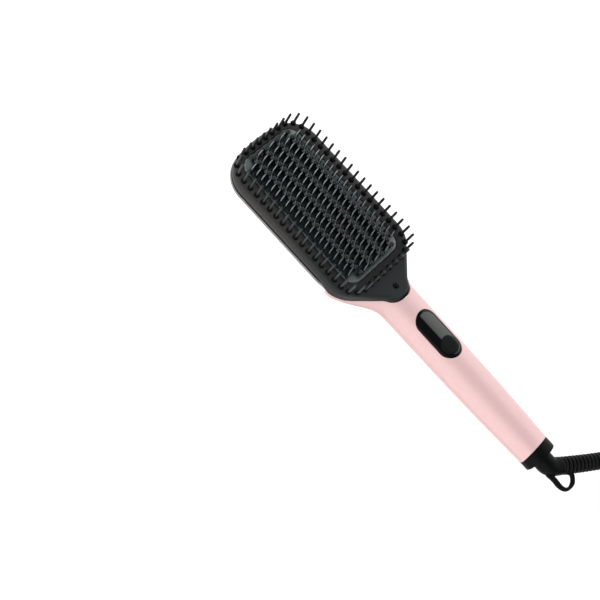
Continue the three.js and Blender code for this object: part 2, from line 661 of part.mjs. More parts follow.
// The cover of the head with its pins
function pinPlaces() {
  const path = roundedRectangle(PIN_RING_START, PIN_RING_END, PIN_RING_HALF_WIDTH, PIN_RING_CORNER, 12);
  const curve = new THREE.CurvePath();
  path.forEach((p, i) => curve.add(new THREE.LineCurve(p, path[(i + 1) % path.length])));
  const count = Math.round(curve.getLength() / PIN_PITCH);
  return Array.from({ length: count }, (_, i) => curve.getPointAt((i + 0.5) / count));
}

const pentagon = (x, y, radius) => arc(x, y, radius, 0, (8 / 5) * Math.PI, 4);

function guardPin(x, y) {
  const levels = [
    [0, 1.2],
    [PIN_HEIGHT - PIN_RADIUS, 1],
    [PIN_HEIGHT, 0.4],
  ];
  return stack(levels.map(([z, share]) => [pentagon(x, y, PIN_RADIUS * share), FACE_HEIGHT + z]));
}

function headCover() {
  const edge = COVER_EDGE_RADIUS;
  const body = stack([
    [headOutline(0), COVER_BOTTOM],
    [headOutline(0), FACE_HEIGHT - edge],
    [headOutline(edge * 0.3), FACE_HEIGHT - edge * 0.3],
    [headOutline(edge), FACE_HEIGHT],
  ]);
  const inside = prism(headOutline(COVER_WALL), COVER_BOTTOM - PAST, COVER_UNDER);
  const window = prism(
    roundedRectangle(PLATE_START - GAP, PLATE_END + GAP, PLATE_HALF_WIDTH + GAP, PLATE_CORNER + GAP),
    COVER_UNDER - PAST, FACE_HEIGHT + PAST);
  const ionHole = postZ(ION_PLACE, 0, COVER_UNDER - PAST, FACE_HEIGHT + PAST, ION_HOLE_RADIUS, 16);
  const pins = pinPlaces().map((p) => guardPin(p.x, p.y));
  return join(cut(body, inside, window, ionHole), pins);
}

function trimRing() {
  return cut(
    prism(headOutline(0), TRIM_BOTTOM, TRIM_TOP),
    prism(headOutline(TRIM_WIDTH), TRIM_BOTTOM - PAST, TRIM_TOP + PAST),
  );
}

// The heating plate with its blades and pegs
function blade(x, y) {
  const diamond = (length, width) => arc(0, 0, 0.5, 0, 1.5 * Math.PI, 3).map((p) =>
    new THREE.Vector2(x + p.x * width, y + p.y * length));
  return stack([
    [diamond(BLADE_LENGTH, BLADE_BASE), PLATE_TOP],
    [diamond(BLADE_TOP_LENGTH, BLADE_TOP), PLATE_TOP + BLADE_HEIGHT],
  ]);
}

function ballPeg(x, y) {
  const levels = [
    [0, PEG_RADIUS * 1.2],
    [PEG_HEIGHT - 1.9 * BALL_RADIUS, PEG_RADIUS],
    [PEG_HEIGHT - 0.9 * BALL_RADIUS, BALL_RADIUS],
    [PEG_HEIGHT, BALL_RADIUS * 0.4],
  ];
  return stack(levels.map(([z, radius]) => [pentagon(x, y, radius), PLATE_TOP + z]));
}

function combTeeth() {
  const teeth = [];
  const outerColumn = (BLADE_COLUMNS - 1) / 2;
  for (let row = 0; row < ROW_COUNT; row++) {
    const x = PLATE_CENTRE + (row - (ROW_COUNT - 1) / 2) * ROW_PITCH;
    const atEnd = row === 0 || row === ROW_COUNT - 1;
    for (let column = -outerColumn; column <= outerColumn; column++) {
      if (atEnd && Math.abs(column) === outerColumn) continue;
      teeth.push(blade(x, column * BLADE_COLUMN_PITCH));
    }
    for (let column = -outerColumn; column < outerColumn; column++) {
      teeth.push(ballPeg(x, (column + 0.5) * BLADE_COLUMN_PITCH));
    }
  }
  return teeth;
}

function heatingPlate() {
  const outline = (grow, corner = PLATE_CORNER) =>
    roundedRectangle(PLATE_START - grow, PLATE_END + grow, PLATE_HALF_WIDTH + grow, corner + grow);
  const flange = prism(outline(FLANGE_WIDTH), FLANGE_BOTTOM, FLANGE_TOP);
  const raised = stack([
    [outline(0), FLANGE_TOP - SINK],
    [outline(0), PLATE_TOP - PLATE_CHAMFER],
    [outline(-PLATE_CHAMFER), PLATE_TOP],
  ]);
  const bosses = clampScrews.map((x) =>
    postZ(x, 0, CLAMP_TOP + GAP, FLANGE_BOTTOM + SINK, SCREW_HEAD_RADIUS, 12));
  const bores = [
    ...clampScrews.map((x) => screwHole(x, 0, CLAMP_TOP, FLANGE_TOP)),
    ...shieldScrews.map(([x, y]) => screwHole(x, y, FLANGE_BOTTOM - PAST, FLANGE_TOP)),
  ];
  return cut(join(flange, raised, bosses, combTeeth()), bores);
}

// Under the plate
function heaterStrip(side) {
  const y = (side * HEATER_SPACING) / 2;
  return box(PLATE_CENTRE - HEATER_LENGTH / 2, PLATE_CENTRE + HEATER_LENGTH / 2,
    y - HEATER_WIDTH / 2, y + HEATER_WIDTH / 2, HEATER_BOTTOM, HEATER_TOP);
}

function clampPlate() {
  const outline = roundedRectangle(PLATE_CENTRE - CLAMP_LENGTH / 2, PLATE_CENTRE + CLAMP_LENGTH / 2,
    CLAMP_HALF_WIDTH, CLAMP_CORNER, 3);
  return cut(
    prism(outline, CLAMP_BOTTOM, CLAMP_TOP),
    clampScrews.map((x) => screwHole(x, 0, CLAMP_BOTTOM - PAST, CLAMP_TOP + PAST)),
  );
}

const clampScrew = (x) => screw(x, 0, CLAMP_BOTTOM - GAP, FLANGE_TOP - CLAMP_BOTTOM - GAP);

function heatShield() {
  const outline = (inset) => roundedRectangle(
    PLATE_START + SHIELD_END_INSET + inset, PLATE_END - SHIELD_END_INSET - inset,
    SHIELD_HALF_WIDTH - inset, SHIELD_CORNER - inset, 3);
  const tray = cut(
    prism(outline(0), SHIELD_UNDER, HEATER_TOP),
    prism(outline(SHIELD_WALL), SHIELD_FLOOR, HEATER_TOP + PAST),
  );
  const bosses = shieldScrews.map(([x, y]) => postZ(x, y, SHIELD_UNDER, HEATER_TOP, BOSS_RADIUS, 8));
  const feet = headScrews.map((x) =>
    postZ(x, 0, SHIELD_FOOT_BOTTOM, SHIELD_UNDER + SINK, BOSS_RADIUS, 10));
  const bores = [
    ...shieldScrews.map(([x, y]) => screwHole(x, y, SHIELD_UNDER - PAST, HEATER_TOP + PAST)),
    ...headScrews.map((x) => screwHole(x, 0, SHIELD_FOOT_BOTTOM - PAST, SHIELD_FLOOR - SINK)),
  ];
  const exitHalf = HEATER_LEAD_OFFSET + 2 * LEAD_RADIUS;
  const leadExit = box(PLATE_END - SHIELD_END_INSET - 2 * SHIELD_WALL, PLATE_END, -exitHalf, exitHalf,
    SHIELD_FLOOR + SHIELD_WALL, HEATER_TOP + PAST);
  return cut(join(tray, bosses, feet), bores, leadExit);
}

const shieldScrew = ([x, y]) => screw(x, y, SHIELD_UNDER - GAP, FLANGE_TOP - SHIELD_UNDER - GAP);

function thermalFuse() {
  const x = PLATE_CENTRE - SENSOR_REACH;
  return rodX(x - FUSE_LENGTH / 2, x + FUSE_LENGTH / 2, HEATER_SPACING / 2,
    CLAMP_BOTTOM - GAP - FUSE_RADIUS, FUSE_RADIUS, 10);
}

function temperatureSensor() {
  const x = PLATE_CENTRE + SENSOR_REACH;
  const y = -HEATER_SPACING / 2;
  return box(x - SENSOR_SIZE, x + SENSOR_SIZE, y - SENSOR_SIZE / 2, y + SENSOR_SIZE / 2,
    CLAMP_BOTTOM - GAP - SENSOR_SIZE, CLAMP_BOTTOM - GAP);
}

// A tube along a smooth line through a few points
function tube(points, radius, sides, steps) {
  const curve = new THREE.CatmullRomCurve3(points.map((p) => new THREE.Vector3(...p)), false, "centripetal");
  return sweep(curve, radius, sides, steps);
}

function sweep(curve, radius, sides, steps) {
  const section = new THREE.Shape(arc(0, 0, radius, 0, (2 * Math.PI * (sides - 1)) / sides, sides - 1));
  return solid(new THREE.ExtrudeGeometry(section, { steps, extrudePath: curve }));
}

function heaterLead(side) {
  const start = PLATE_CENTRE + HEATER_LENGTH / 2 + GAP;
  const middle = (HEATER_TOP + HEATER_BOTTOM) / 2 - GAP;
  const y = side * HEATER_LEAD_OFFSET;
  const besideIon = side * (ION_BOX_WIDTH / 2 + 1.7 * LEAD_RADIUS);
  return tube([
    [start, y, middle],
    [start + 8 * LEAD_RADIUS, y, middle],
    [ION_BOX_START - 4 * LEAD_RADIUS, besideIon, AXIS_HEIGHT + 4 * LEAD_RADIUS],
    [ION_PLACE + LEAD_RADIUS, besideIon, AXIS_HEIGHT - LEAD_RADIUS],
    [BOARD_START - 2.5 * LEAD_RADIUS, side * BOARD_LEAD_OFFSET, BOARD_TOP + LEAD_RADIUS / 2],
  ], LEAD_RADIUS, 6, 6);
}

// Ion parts
const ionModule = () => box(ION_BOX_START, ION_BOX_START + ION_BOX_LENGTH,
  -ION_BOX_WIDTH / 2, ION_BOX_WIDTH / 2, AXIS_HEIGHT - ION_BOX_HEIGHT, AXIS_HEIGHT);

function ionOutlet() {
  const flangeTop = COVER_UNDER - GAP;
  const bottom = flangeTop - ION_FLANGE;
  const outside = join(
    postZ(ION_PLACE, 0, bottom, FACE_HEIGHT - ION_RECESS, ION_BUSH_RADIUS, 16),
    postZ(ION_PLACE, 0, bottom, flangeTop, ION_BUSH_RADIUS + ION_FLANGE, 16),
  );
  return cut(outside, postZ(ION_PLACE, 0, 0, FAR, ION_BUSH_RADIUS - ION_BUSH_WALL, 12));
}

function ionNeedle() {
  const bottom = AXIS_HEIGHT + GAP;
  const tip = FACE_HEIGHT - ION_NEEDLE_DEPTH;
  const shoulder = tip - ION_NEEDLE_TAPER;
  return join(
    postZ(ION_PLACE, 0, bottom, shoulder, ION_NEEDLE_RADIUS, 8),
    postZ(ION_PLACE, 0, shoulder, tip, ION_NEEDLE_RADIUS, 8, ION_NEEDLE_RADIUS / 4),
    postZ(ION_PLACE, 0, bottom, bottom + ION_NEEDLE_BASE_RADIUS, ION_NEEDLE_BASE_RADIUS, 10),
  );
}

// Control panel and button
function controlPanel() {
  const body = cut(
    handleLoft(NECK_END, HANDLE_END, 0, 32).intersect(prism(pill(0), AXIS_HEIGHT, FAR)),
    handleLoft(NECK_END, HANDLE_END, PANEL_THICKNESS, 24),
  );
  return cut(body, postZ(BUTTON_PLACE, 0, AXIS_HEIGHT, FAR, BUTTON_RADIUS + GAP, 20));
}

function powerButton() {
  const column = postZ(BUTTON_PLACE, 0, BUTTON_FLANGE_TOP - SINK, PANEL_TOP + PAST, BUTTON_RADIUS, 20);
  const dish = new THREE.SphereGeometry(BUTTON_DISH_RADIUS, 64, 48);
  dish.translate(BUTTON_PLACE, 0, PANEL_TOP + BUTTON_DISH_RADIUS - BUTTON_DISH_DEPTH);
  const cap = cut(column.intersect(handleLoft(NECK_END, HANDLE_END, 0, 32)), solid(dish));
  const flange = postZ(BUTTON_PLACE, 0, BUTTON_FLANGE_TOP - BUTTON_FLANGE, BUTTON_FLANGE_TOP,
    PANEL_HALF_WIDTH - PANEL_LEDGE - GAP, 20);
  const plunger = postZ(BUTTON_PLACE, 0, PLUNGER_END, BUTTON_FLANGE_TOP - SINK, PLUNGER_RADIUS, 12);
  return join(cap, flange, plunger);
}

// On the board
function mainBoard() {
  const board = box(BOARD_START, BOARD_END, -BOARD_HALF_WIDTH, BOARD_HALF_WIDTH, BOARD_BOTTOM, BOARD_TOP);
  return cut(board, boardPosts.map((x) => screwHole(x, 0, BOARD_BOTTOM - PAST, BOARD_TOP + PAST)));
}

function boardScrew(x) {
  const head = postZ(x, 0, ON_BOARD, ON_BOARD + SCREW_HEAD_HEIGHT, SCREW_HEAD_RADIUS, 8);
  return join(head, postZ(x, 0, BOARD_BOTTOM - BOARD_SCREW_REACH, ON_BOARD + SINK, SCREW_RADIUS, 6));
}

function displayModule() {
  const x0 = PANEL_START + DISPLAY_INSET;
  const x1 = x0 + DISPLAY_LENGTH;
  const half = DISPLAY_WIDTH / 2;
  const edge = handleHalfWidth(x0) - PANEL_THICKNESS;
  const under = AXIS_HEIGHT + edge * HANDLE_FLATNESS * Math.sqrt(1 - (half / edge) ** 2);
  const top = under - DISPLAY_COVER_GAP;
  const legs = [0, 1].flatMap((end) => [-1, 1].map((side) => {
    const legX = x0 + LEG_SIZE + end * (DISPLAY_LENGTH - 2 * LEG_SIZE);
    const legY = side * (half - LEG_SIZE);
    return box(legX - LEG_SIZE / 2, legX + LEG_SIZE / 2, legY - LEG_SIZE / 2, legY + LEG_SIZE / 2,
      ON_BOARD, top - DISPLAY_HEIGHT + SINK);
  }));
  return join(box(x0, x1, -half, half, top - DISPLAY_HEIGHT, top), legs);
}

function capacitor() {
  const start = PANEL_START + CAPACITOR_INSET;
  return rodX(start, start + CAPACITOR_LENGTH, 0, ON_BOARD + CAPACITOR_RADIUS, CAPACITOR_RADIUS, 16);
}

function pushSwitch() {
  const half = SWITCH_WIDTH / 2;
  const top = PLUNGER_END - BUTTON_TRAVEL - GAP;
  return join(
    box(BUTTON_PLACE - half, BUTTON_PLACE + half, -half, half, ON_BOARD, ON_BOARD + SWITCH_BODY),
    postZ(BUTTON_PLACE, 0, ON_BOARD + SWITCH_BODY - SINK, top, SWITCH_STEM_RADIUS, 12),
  );
}

function triac() {
  const bottom = ON_BOARD + TRIAC_LEGS;
  const half = TRIAC_LEG_SIZE / 2;
  const legs = [-1, 0, 1].map((k) => k * TRIAC_LEG_PITCH).map((y) =>
    box(TRIAC_PLACE - half, TRIAC_PLACE + half, y - half, y + half, ON_BOARD, bottom + SINK));
  const body = box(TRIAC_PLACE - TRIAC_THICKNESS / 2, TRIAC_PLACE + TRIAC_THICKNESS / 2,
    -TRIAC_WIDTH / 2, TRIAC_WIDTH / 2, bottom, bottom + TRIAC_HEIGHT);
  return join(body, legs);
}

function heatSink() {
  const x = COOLER_PLACE;
  const half = COOLER_WIDTH / 2;
  const top = ON_BOARD + COOLER_HEIGHT;
  const pitch = (COOLER_WIDTH - COOLER_THICKNESS) / (COOLER_FINS - 1);
  const fins = Array.from({ length: COOLER_FINS }, (_, i) => i * pitch - half).map((y) =>
    box(x + SINK, x + COOLER_DEPTH, y, y + COOLER_THICKNESS, ON_BOARD, top));
  return join(box(x, x + COOLER_THICKNESS, -half, half, ON_BOARD, top), fins);
}

function terminalBlock() {
  const half = TERMINAL_WIDTH / 2;
  const body = box(TERMINAL_END - TERMINAL_LENGTH, TERMINAL_END, -half, half,
    ON_BOARD, ON_BOARD + TERMINAL_HEIGHT);
  const mouths = [-0.5, 0.5].map((k) => rodX(TERMINAL_MOUTH, TERMINAL_END + PAST,
    k * TERMINAL_SPACING, ON_BOARD + TERMINAL_HEIGHT / 2, LEAD_RADIUS + GAP, 10));
  return cut(body, mouths);
}

function mainsLead(side) {
  const startY = (side * TERMINAL_SPACING) / 2;
  const startZ = ON_BOARD + TERMINAL_HEIGHT / 2;
  const holderY = (side * (HOLDER_BORE + HOLDER_RADIUS)) / 2;
  return tube([
    [TERMINAL_MOUTH + GAP, startY, startZ],
    [TERMINAL_END + 3 * LEAD_RADIUS, startY, startZ],
    [handleScrews[1], side * MAINS_LEAD_OFFSET, AXIS_HEIGHT],
    [HOLDER_START - 10 * LEAD_RADIUS, side * MAINS_LEAD_OFFSET, AXIS_HEIGHT],
    [HOLDER_START - GAP, holderY, AXIS_HEIGHT],
  ], LEAD_RADIUS, 6, 6);
}

// End cap and swivel
function endCap() {
  const edge = CAP_EDGE_RADIUS;
  const outside = solid(loft([
    sectionRing(HANDLE_END + GAP, 0),
    sectionRing(CAP_FACE - edge, 0),
    sectionRing(CAP_FACE - edge * 0.3, edge * 0.3),
    sectionRing(CAP_FACE, edge),
  ], flatX));
  const spigotInset = SHELL_WALL + 2 * GAP;
  const spigot = solid(loft([
    sectionRing(SPIGOT_START, spigotInset),
    sectionRing(HANDLE_END + GAP + SINK, spigotInset),
  ], flatX));
  const bore = rodX(SPIGOT_START - PAST, CAP_FACE + PAST, 0, AXIS_HEIGHT, STEM_RADIUS + GAP, 20);
  return cut(join(outside, spigot), bore);
}

const contactRing = (x) => cut(
  rodX(x - RING_WIDTH / 2, x + RING_WIDTH / 2, 0, AXIS_HEIGHT, RING_RADIUS, 16),
  rodX(x - RING_WIDTH, x + RING_WIDTH, 0, AXIS_HEIGHT, CORE_RADIUS + GAP, 16),
);

function contactHolder() {
  const body = cut(
    rodX(HOLDER_START, HOLDER_END, 0, AXIS_HEIGHT, HOLDER_RADIUS, 16),
    rodX(HOLDER_START - PAST, HOLDER_END + PAST, 0, AXIS_HEIGHT, HOLDER_BORE, 12),
  );
  const half = BRUSH_WIDTH / 2 + GAP;
  const slots = RING_PLACES.map((x, i) => {
    const side = i === 0 ? [-HOLDER_RADIUS - PAST, 0] : [0, HOLDER_RADIUS + PAST];
    return box(x - half, x + half, ...side, AXIS_HEIGHT - half, AXIS_HEIGHT + half);
  });
  return cut(body, slots);
}

function brush(i) {
  const x = RING_PLACES[i];
  const half = BRUSH_WIDTH / 2;
  const inner = RING_RADIUS + GAP;
  const [y0, y1] = i === 0 ? [-HOLDER_RADIUS, -inner] : [inner, HOLDER_RADIUS];
  return box(x - half, x + half, y0, y1, AXIS_HEIGHT - half, AXIS_HEIGHT + half);
}

// Outline round a row of corners, each rounded by the same radius.
function roundedCorners(corners, radius) {
  const points = corners.map(([x, y]) => new THREE.Vector2(x, y));
  return points.flatMap((p, i) => {
    const before = points[(i + points.length - 1) % points.length];
    const after = points[(i + 1) % points.length];
    const from = Math.atan2(p.y - before.y, p.x - before.x) - Math.PI / 2;
    let to = Math.atan2(after.y - p.y, after.x - p.x) - Math.PI / 2;
    while (to < from) to += 2 * Math.PI;
    return arc(p.x, p.y, radius, from, to, 3);
  });
}

const armDirection = new THREE.Vector3(Math.cos(ARM_ANGLE), Math.sin(ARM_ANGLE), 0);
const bend = new THREE.Vector3(BEND_PLACE, 0, AXIS_HEIGHT);

function armRod(from, to, radius, sides = 16) {
  const geometry = new THREE.CylinderGeometry(radius, radius, to - from, sides);
  geometry.rotateZ(-Math.PI / 2);
  geometry.translate((from + to) / 2, 0, 0);
  geometry.rotateZ(ARM_ANGLE);
  geometry.translate(bend.x, bend.y, bend.z);
  return solid(geometry);
}

function hangingLoop() {
  const z0 = AXIS_HEIGHT - LOOP_THICKNESS / 2;
  const z1 = AXIS_HEIGHT + LOOP_THICKNESS / 2;
  const place = (outline) => outline.map((p) => new THREE.Vector2(p.x + bend.x, p.y + bend.y));
  const reach = LOOP_HOLE_RADIUS + LOOP_WIRE;
  const inArm = [0.6 * ARM_LENGTH * armDirection.x, 0.6 * ARM_LENGTH * armDirection.y];
  const corners = [LOOP_ROOT, ...LOOP_CORNERS.slice(1), inArm];
  const outside = place(roundedCorners(corners, reach));
  const edge = LOOP_THICKNESS / 4;
  const inner = place(roundedCorners(corners, reach - edge));
  const hole = place(roundedCorners(LOOP_CORNERS, LOOP_HOLE_RADIUS));
  const plate = stack([[inner, z0], [outside, z0 + edge], [outside, z1 - edge], [inner, z1]]);
  return { plate, hole: prism(hole, z0 - PAST, z1 + PAST) };
}

function swivelElbow() {
  const core = rodX(HOLDER_START + RIB_THICKNESS, HOLDER_END + PAST, 0, AXIS_HEIGHT, CORE_RADIUS, 12);
  const flange = rodX(HOLDER_END + GAP, FLANGE_END, 0, AXIS_HEIGHT, STEM_FLANGE_RADIUS, 16);
  const neck = rodX(FLANGE_END - SINK, BEND_PLACE, 0, AXIS_HEIGHT, STEM_RADIUS, 16);
  const knee = new THREE.SphereGeometry(STEM_RADIUS, 16, 8);
  knee.translate(bend.x, bend.y, bend.z);
  const loop = hangingLoop();
  const arm = join(neck, solid(knee), armRod(0, ARM_LENGTH, STEM_RADIUS));
  const sleeveSpace = armRod(ARM_LENGTH, ARM_LENGTH + SLEEVE_LENGTH / 2, SLEEVE_RADIUS + GAP);
  return join(core, flange, cut(join(arm, loop.plate), loop.hole, sleeveSpace));
}

// The sleeve keeps the direction of the arm at first, then bends a little towards +Y.
function sleevePoint(along) {
  const point = bend.clone().addScaledVector(armDirection, ARM_LENGTH + GAP);
  const steps = 12;
  for (let i = 0; i < steps; i++) {
    const heading = ARM_ANGLE + (SLEEVE_BEND * (i + 0.5) * along) / (steps * SLEEVE_LENGTH);
    point.x += (Math.cos(heading) * along) / steps;
    point.y += (Math.sin(heading) * along) / steps;
  }
  return { point, heading: ARM_ANGLE + (SLEEVE_BEND * along) / SLEEVE_LENGTH };
}

function sleeveRing(along, radius, sides = 8) {
  const { point, heading } = sleevePoint(along);
  const across = new THREE.Vector3(-Math.sin(heading), Math.cos(heading), 0);
  return Array.from({ length: sides }, (_, i) => {
    const turn = (2 * Math.PI * i) / sides;
    const ring = point.clone().addScaledVector(across, radius * Math.cos(turn));
    ring.z += radius * Math.sin(turn);
    return ring;
  });
}

const flatArm = (p) => new THREE.Vector2(p.x * -armDirection.y + p.y * armDirection.x, p.z);

function strainRelief() {
  const rings = [];
  const pitch = SLEEVE_LENGTH / SLEEVE_RIBS;
  for (let rib = 0; rib < SLEEVE_RIBS; rib++) {
    const share = rib / (SLEEVE_RIBS - 1);
    const crest = THREE.MathUtils.lerp(SLEEVE_RADIUS, SLEEVE_END_RADIUS, share);
    const start = rib * pitch;
    rings.push(sleeveRing(start, crest), sleeveRing(start + pitch * 0.6, crest));
    if (rib === SLEEVE_RIBS - 1) break;
    rings.push(sleeveRing(start + pitch * 0.8, crest - SLEEVE_GROOVE));
  }
  rings.push(sleeveRing(SLEEVE_LENGTH, SLEEVE_END_RADIUS - SLEEVE_GROOVE / 2));
  return loft(rings, flatArm);
}

// The coil: the cord spirals in on the lower layer, climbs in half a turn and spirals out on the upper one.
const coilLow = COIL_LIFT + CORD_RADIUS;
const coilSweep = COIL_START_ANGLE - COIL_END_ANGLE + 2 * Math.PI * (2 * COIL_LAYER_TURNS - 1);

function coilPoint(turned) {
  const middle = coilSweep / 2;
  const fromMiddle = Math.abs(turned - middle);
  const radius = COIL_RADIUS - (COIL_PITCH * (middle - fromMiddle)) / (2 * Math.PI);
  const climb = THREE.MathUtils.smoothstep(turned, middle - Math.PI / 2, middle + Math.PI / 2);
  const angle = COIL_START_ANGLE - turned;
  return new THREE.Vector3(
    COIL_CENTRE[0] + radius * Math.cos(angle),
    COIL_CENTRE[1] + radius * Math.sin(angle),
    coilLow + climb * COIL_PITCH,
  );
}

function coilPath() {
  const steps = Math.round((coilSweep / (2 * Math.PI)) * 18);
  const turns = Array.from({ length: steps + 1 }, (_, i) => coilPoint((coilSweep * i) / steps));
  const lead = 2 * CORD_RADIUS;
  const before = turns[0].clone().sub(turns[1]).normalize();
  const after = turns.at(-1).clone().sub(turns.at(-2)).normalize();
  return [
    turns[0].clone().addScaledVector(before, lead),
    ...turns,
    turns.at(-1).clone().addScaledVector(after, lead),
  ];
}

function tubeRings(path, radius, sides) {
  const up = new THREE.Vector3(0, 0, 1);
  return path.map((p, i) => {
    const before = path[Math.max(i - 1, 0)];
    const after = path[Math.min(i + 1, path.length - 1)];
    const ahead = after.clone().sub(before).normalize();
    const across = new THREE.Vector3().crossVectors(ahead, up).normalize();
    const rise = new THREE.Vector3().crossVectors(across, ahead);
    return Array.from({ length: sides }, (_, k) => {
      const turn = (2 * Math.PI * (k + 0.5)) / sides;
      const out = p.clone().addScaledVector(across, radius * Math.cos(turn));
      return out.addScaledVector(rise, radius * Math.sin(turn));
    });
  });
}

// Least distance between the surfaces of two turns, measured between points of the middle line.
function leastGap(path, radius) {
  const fine = [];
  for (let i = 0; i + 1 < path.length; i++) {
    for (let k = 0; k < 4; k++) fine.push(path[i].clone().lerp(path[i + 1], k / 4));
  }
  const apart = 6 * 4;
  let least = Infinity;
  for (let i = 0; i < fine.length; i++) {
    for (let j = i + apart; j < fine.length; j++) least = Math.min(least, fine[i].distanceTo(fine[j]));
  }
  return least - 2 * radius;
}

const coilLine = coilPath();
console.log("least gap between the coil's turns, mm:", leastGap(coilLine, CORD_RADIUS).toFixed(2));

function cordCoil() {
  const first = coilLine[0];
  const ahead = coilLine[1].clone().sub(first);
  const flat = (p) => new THREE.Vector2((p.x * -ahead.y + p.y * ahead.x) / ahead.length(), p.z);
  return loft(tubeRings(coilLine, CORD_RADIUS, 6), flat);
}

// Free stretches of the cord, from the sleeve to the coil and from the coil to the plug
function freeCord(start, startHeading, startReach, end, endHeading, endReach) {
  const first = start.clone().addScaledVector(startHeading, GAP);
  const last = end.clone().addScaledVector(endHeading, -GAP);
  const bend = new THREE.CubicBezierCurve3(
    first,
    first.clone().addScaledVector(startHeading, startReach),
    last.clone().addScaledVector(endHeading, -endReach),
    last,
  );
  return sweep(bend, CORD_RADIUS, 8, 10);
}

const sleeveEnd = sleevePoint(SLEEVE_LENGTH);
const coilIn = coilLine[1].clone().sub(coilLine[0]).normalize();
const coilOut = coilLine.at(-1).clone().sub(coilLine.at(-2)).normalize();
const sleeveHeading = new THREE.Vector3(Math.cos(sleeveEnd.heading), Math.sin(sleeveEnd.heading), 0);
const cordStart = freeCord(
  sleeveEnd.point, sleeveHeading, CORD_START_REACH, coilLine[0], coilIn, CORD_START_REACH);
const plugCentreHeight = GAP + PLUG_THICKNESS / 2;
const plugRear = new THREE.Vector3(PLUG_PLACE[0], PLUG_PLACE[1], plugCentreHeight);
const cordTail = freeCord(coilLine.at(-1), coilOut, TAIL_COIL_REACH,
  plugRear, new THREE.Vector3(0, -1, 0), TAIL_PLUG_REACH);

function cordTie() {
  const [cx, cy] = COIL_CENTRE;
  const inner = COIL_RADIUS - COIL_PITCH * (COIL_LAYER_TURNS - 0.5) - 2 * CORD_RADIUS;
  const outerEdge = COIL_RADIUS + CORD_RADIUS + 2 * GAP;
  const low = COIL_LIFT - GAP;
  const high = coilLow + COIL_PITCH + CORD_RADIUS + GAP;
  const wall = TIE_THICKNESS;
  const half = TIE_WIDTH / 2;
  const band = cut(
    box(inner - wall, outerEdge + wall, -half, half, low - wall, high + wall),
    box(inner, outerEdge, -half - PAST, half + PAST, low, high),
  );
  return band.rotate([0, 0, THREE.MathUtils.radToDeg(TIE_ANGLE)]).translate([cx, cy, 0]);
}

function plugBody() {
  const [x, y] = PLUG_PLACE;
  const half = PLUG_HALF_WIDTH;
  const neck = PLUG_NECK_HALF_WIDTH;
  const side = [
    [neck, 0],
    [neck * 1.1, -0.3],
    [neck * 1.2, -0.45],
    [half, -0.62],
    [half, -0.95],
    [half * 0.88, -1],
  ].map(([across, along]) => new THREE.Vector2(x + across, y + along * PLUG_LENGTH));
  const other = side.map((p) => new THREE.Vector2(2 * x - p.x, p.y)).reverse();
  const outline = [...side, ...other];
  const shrink = (by) => outline.map((p) => new THREE.Vector2(
    p.x - Math.sign(p.x - x) * by, THREE.MathUtils.clamp(p.y, y - PLUG_LENGTH + by, y)));
  const inner = shrink(PLUG_EDGE);
  const outer = shrink(0);
  const z = GAP;
  const top = GAP + PLUG_THICKNESS;
  return stack([[inner, z], [outer, z + PLUG_EDGE], [outer, top - PLUG_EDGE], [inner, top]]);
}

function plugPin(side) {
  const geometry = new THREE.CylinderGeometry(PLUG_PIN_RADIUS, PLUG_PIN_RADIUS * 0.8, PLUG_PIN_LENGTH, 14);
  geometry.translate(
    PLUG_PLACE[0] + (side * PLUG_PIN_SPACING) / 2,
    PLUG_PLACE[1] - PLUG_LENGTH - GAP - PLUG_PIN_LENGTH / 2,
    plugCentreHeight,
  );
  return solid(geometry);
}

// The comb
const comb = new THREE.Group();

function add(name, shape, material) {
  const geometry = shape.isBufferGeometry ? shape : geometryOf(shape);
  const mesh = new THREE.Mesh(geometry, material);
  mesh.name = name;
  comb.add(mesh);
}

add("back_shell", backShell(), PINK);
add("handle_top_shell", handleTopShell(), PINK);
add("trim_ring", trimRing(), TRIM_GREY);
add("head_cover", headCover(), BLACK);
add("heating_plate", heatingPlate(), ALUMINIUM);
add("heater_strip_1", heaterStrip(-1), CERAMIC);
add("heater_strip_2", heaterStrip(1), CERAMIC);
add("clamp_plate", clampPlate(), STEEL);
clampScrews.forEach((x, i) => add("clamp_screw_" + (i + 1), clampScrew(x), STEEL));
add("heat_shield", heatShield(), NATURAL_PLASTIC);
shieldScrews.forEach((place, i) => add("shield_screw_" + (i + 1), shieldScrew(place), STEEL));
add("thermal_fuse", thermalFuse(), NATURAL_PLASTIC);
add("temperature_sensor", temperatureSensor(), GLOSS_BLACK);
add("heater_lead_1", heaterLead(-1), SILICONE_RED);
add("heater_lead_2", heaterLead(1), SILICONE_RED);
add("ion_module", ionModule(), BLACK);
add("ion_needle", ionNeedle(), STEEL);
add("ion_outlet", ionOutlet(), BLACK);
add("control_panel", controlPanel(), GLOSS_BLACK);
add("power_button", powerButton(), GLOSS_BLACK);
add("main_board", mainBoard(), BOARD_GREEN);
boardPosts.forEach((x, i) => add("board_screw_" + (i + 1), boardScrew(x), STEEL));
add("display_module", displayModule(), BLACK);
add("capacitor", capacitor(), GLOSS_BLACK);
add("push_switch", pushSwitch(), BLACK);
add("triac", triac(), BLACK);
add("heat_sink", heatSink(), STEEL);
add("terminal_block", terminalBlock(), NATURAL_PLASTIC);
add("mains_lead_1", mainsLead(-1), SILICONE_RED);
add("mains_lead_2", mainsLead(1), SILICONE_RED);
[...headScrews, ...handleScrews].forEach((x, i) => {
  const reach = i < headScrews.length ? SHIELD_UNDER - SINK : AXIS_HEIGHT + CASE_SCREW_GRIP;
  add("case_screw_" + (i + 1), screw(x, 0, CASE_SCREW_SEAT - GAP, reach - CASE_SCREW_SEAT), STEEL);
});
add("end_cap", endCap(), BLACK);
add("contact_holder", contactHolder(), NATURAL_PLASTIC);
add("contact_brush_1", brush(0), BRASS);
add("contact_brush_2", brush(1), BRASS);
RING_PLACES.forEach((x, i) => add("contact_ring_" + (i + 1), contactRing(x), BRASS));
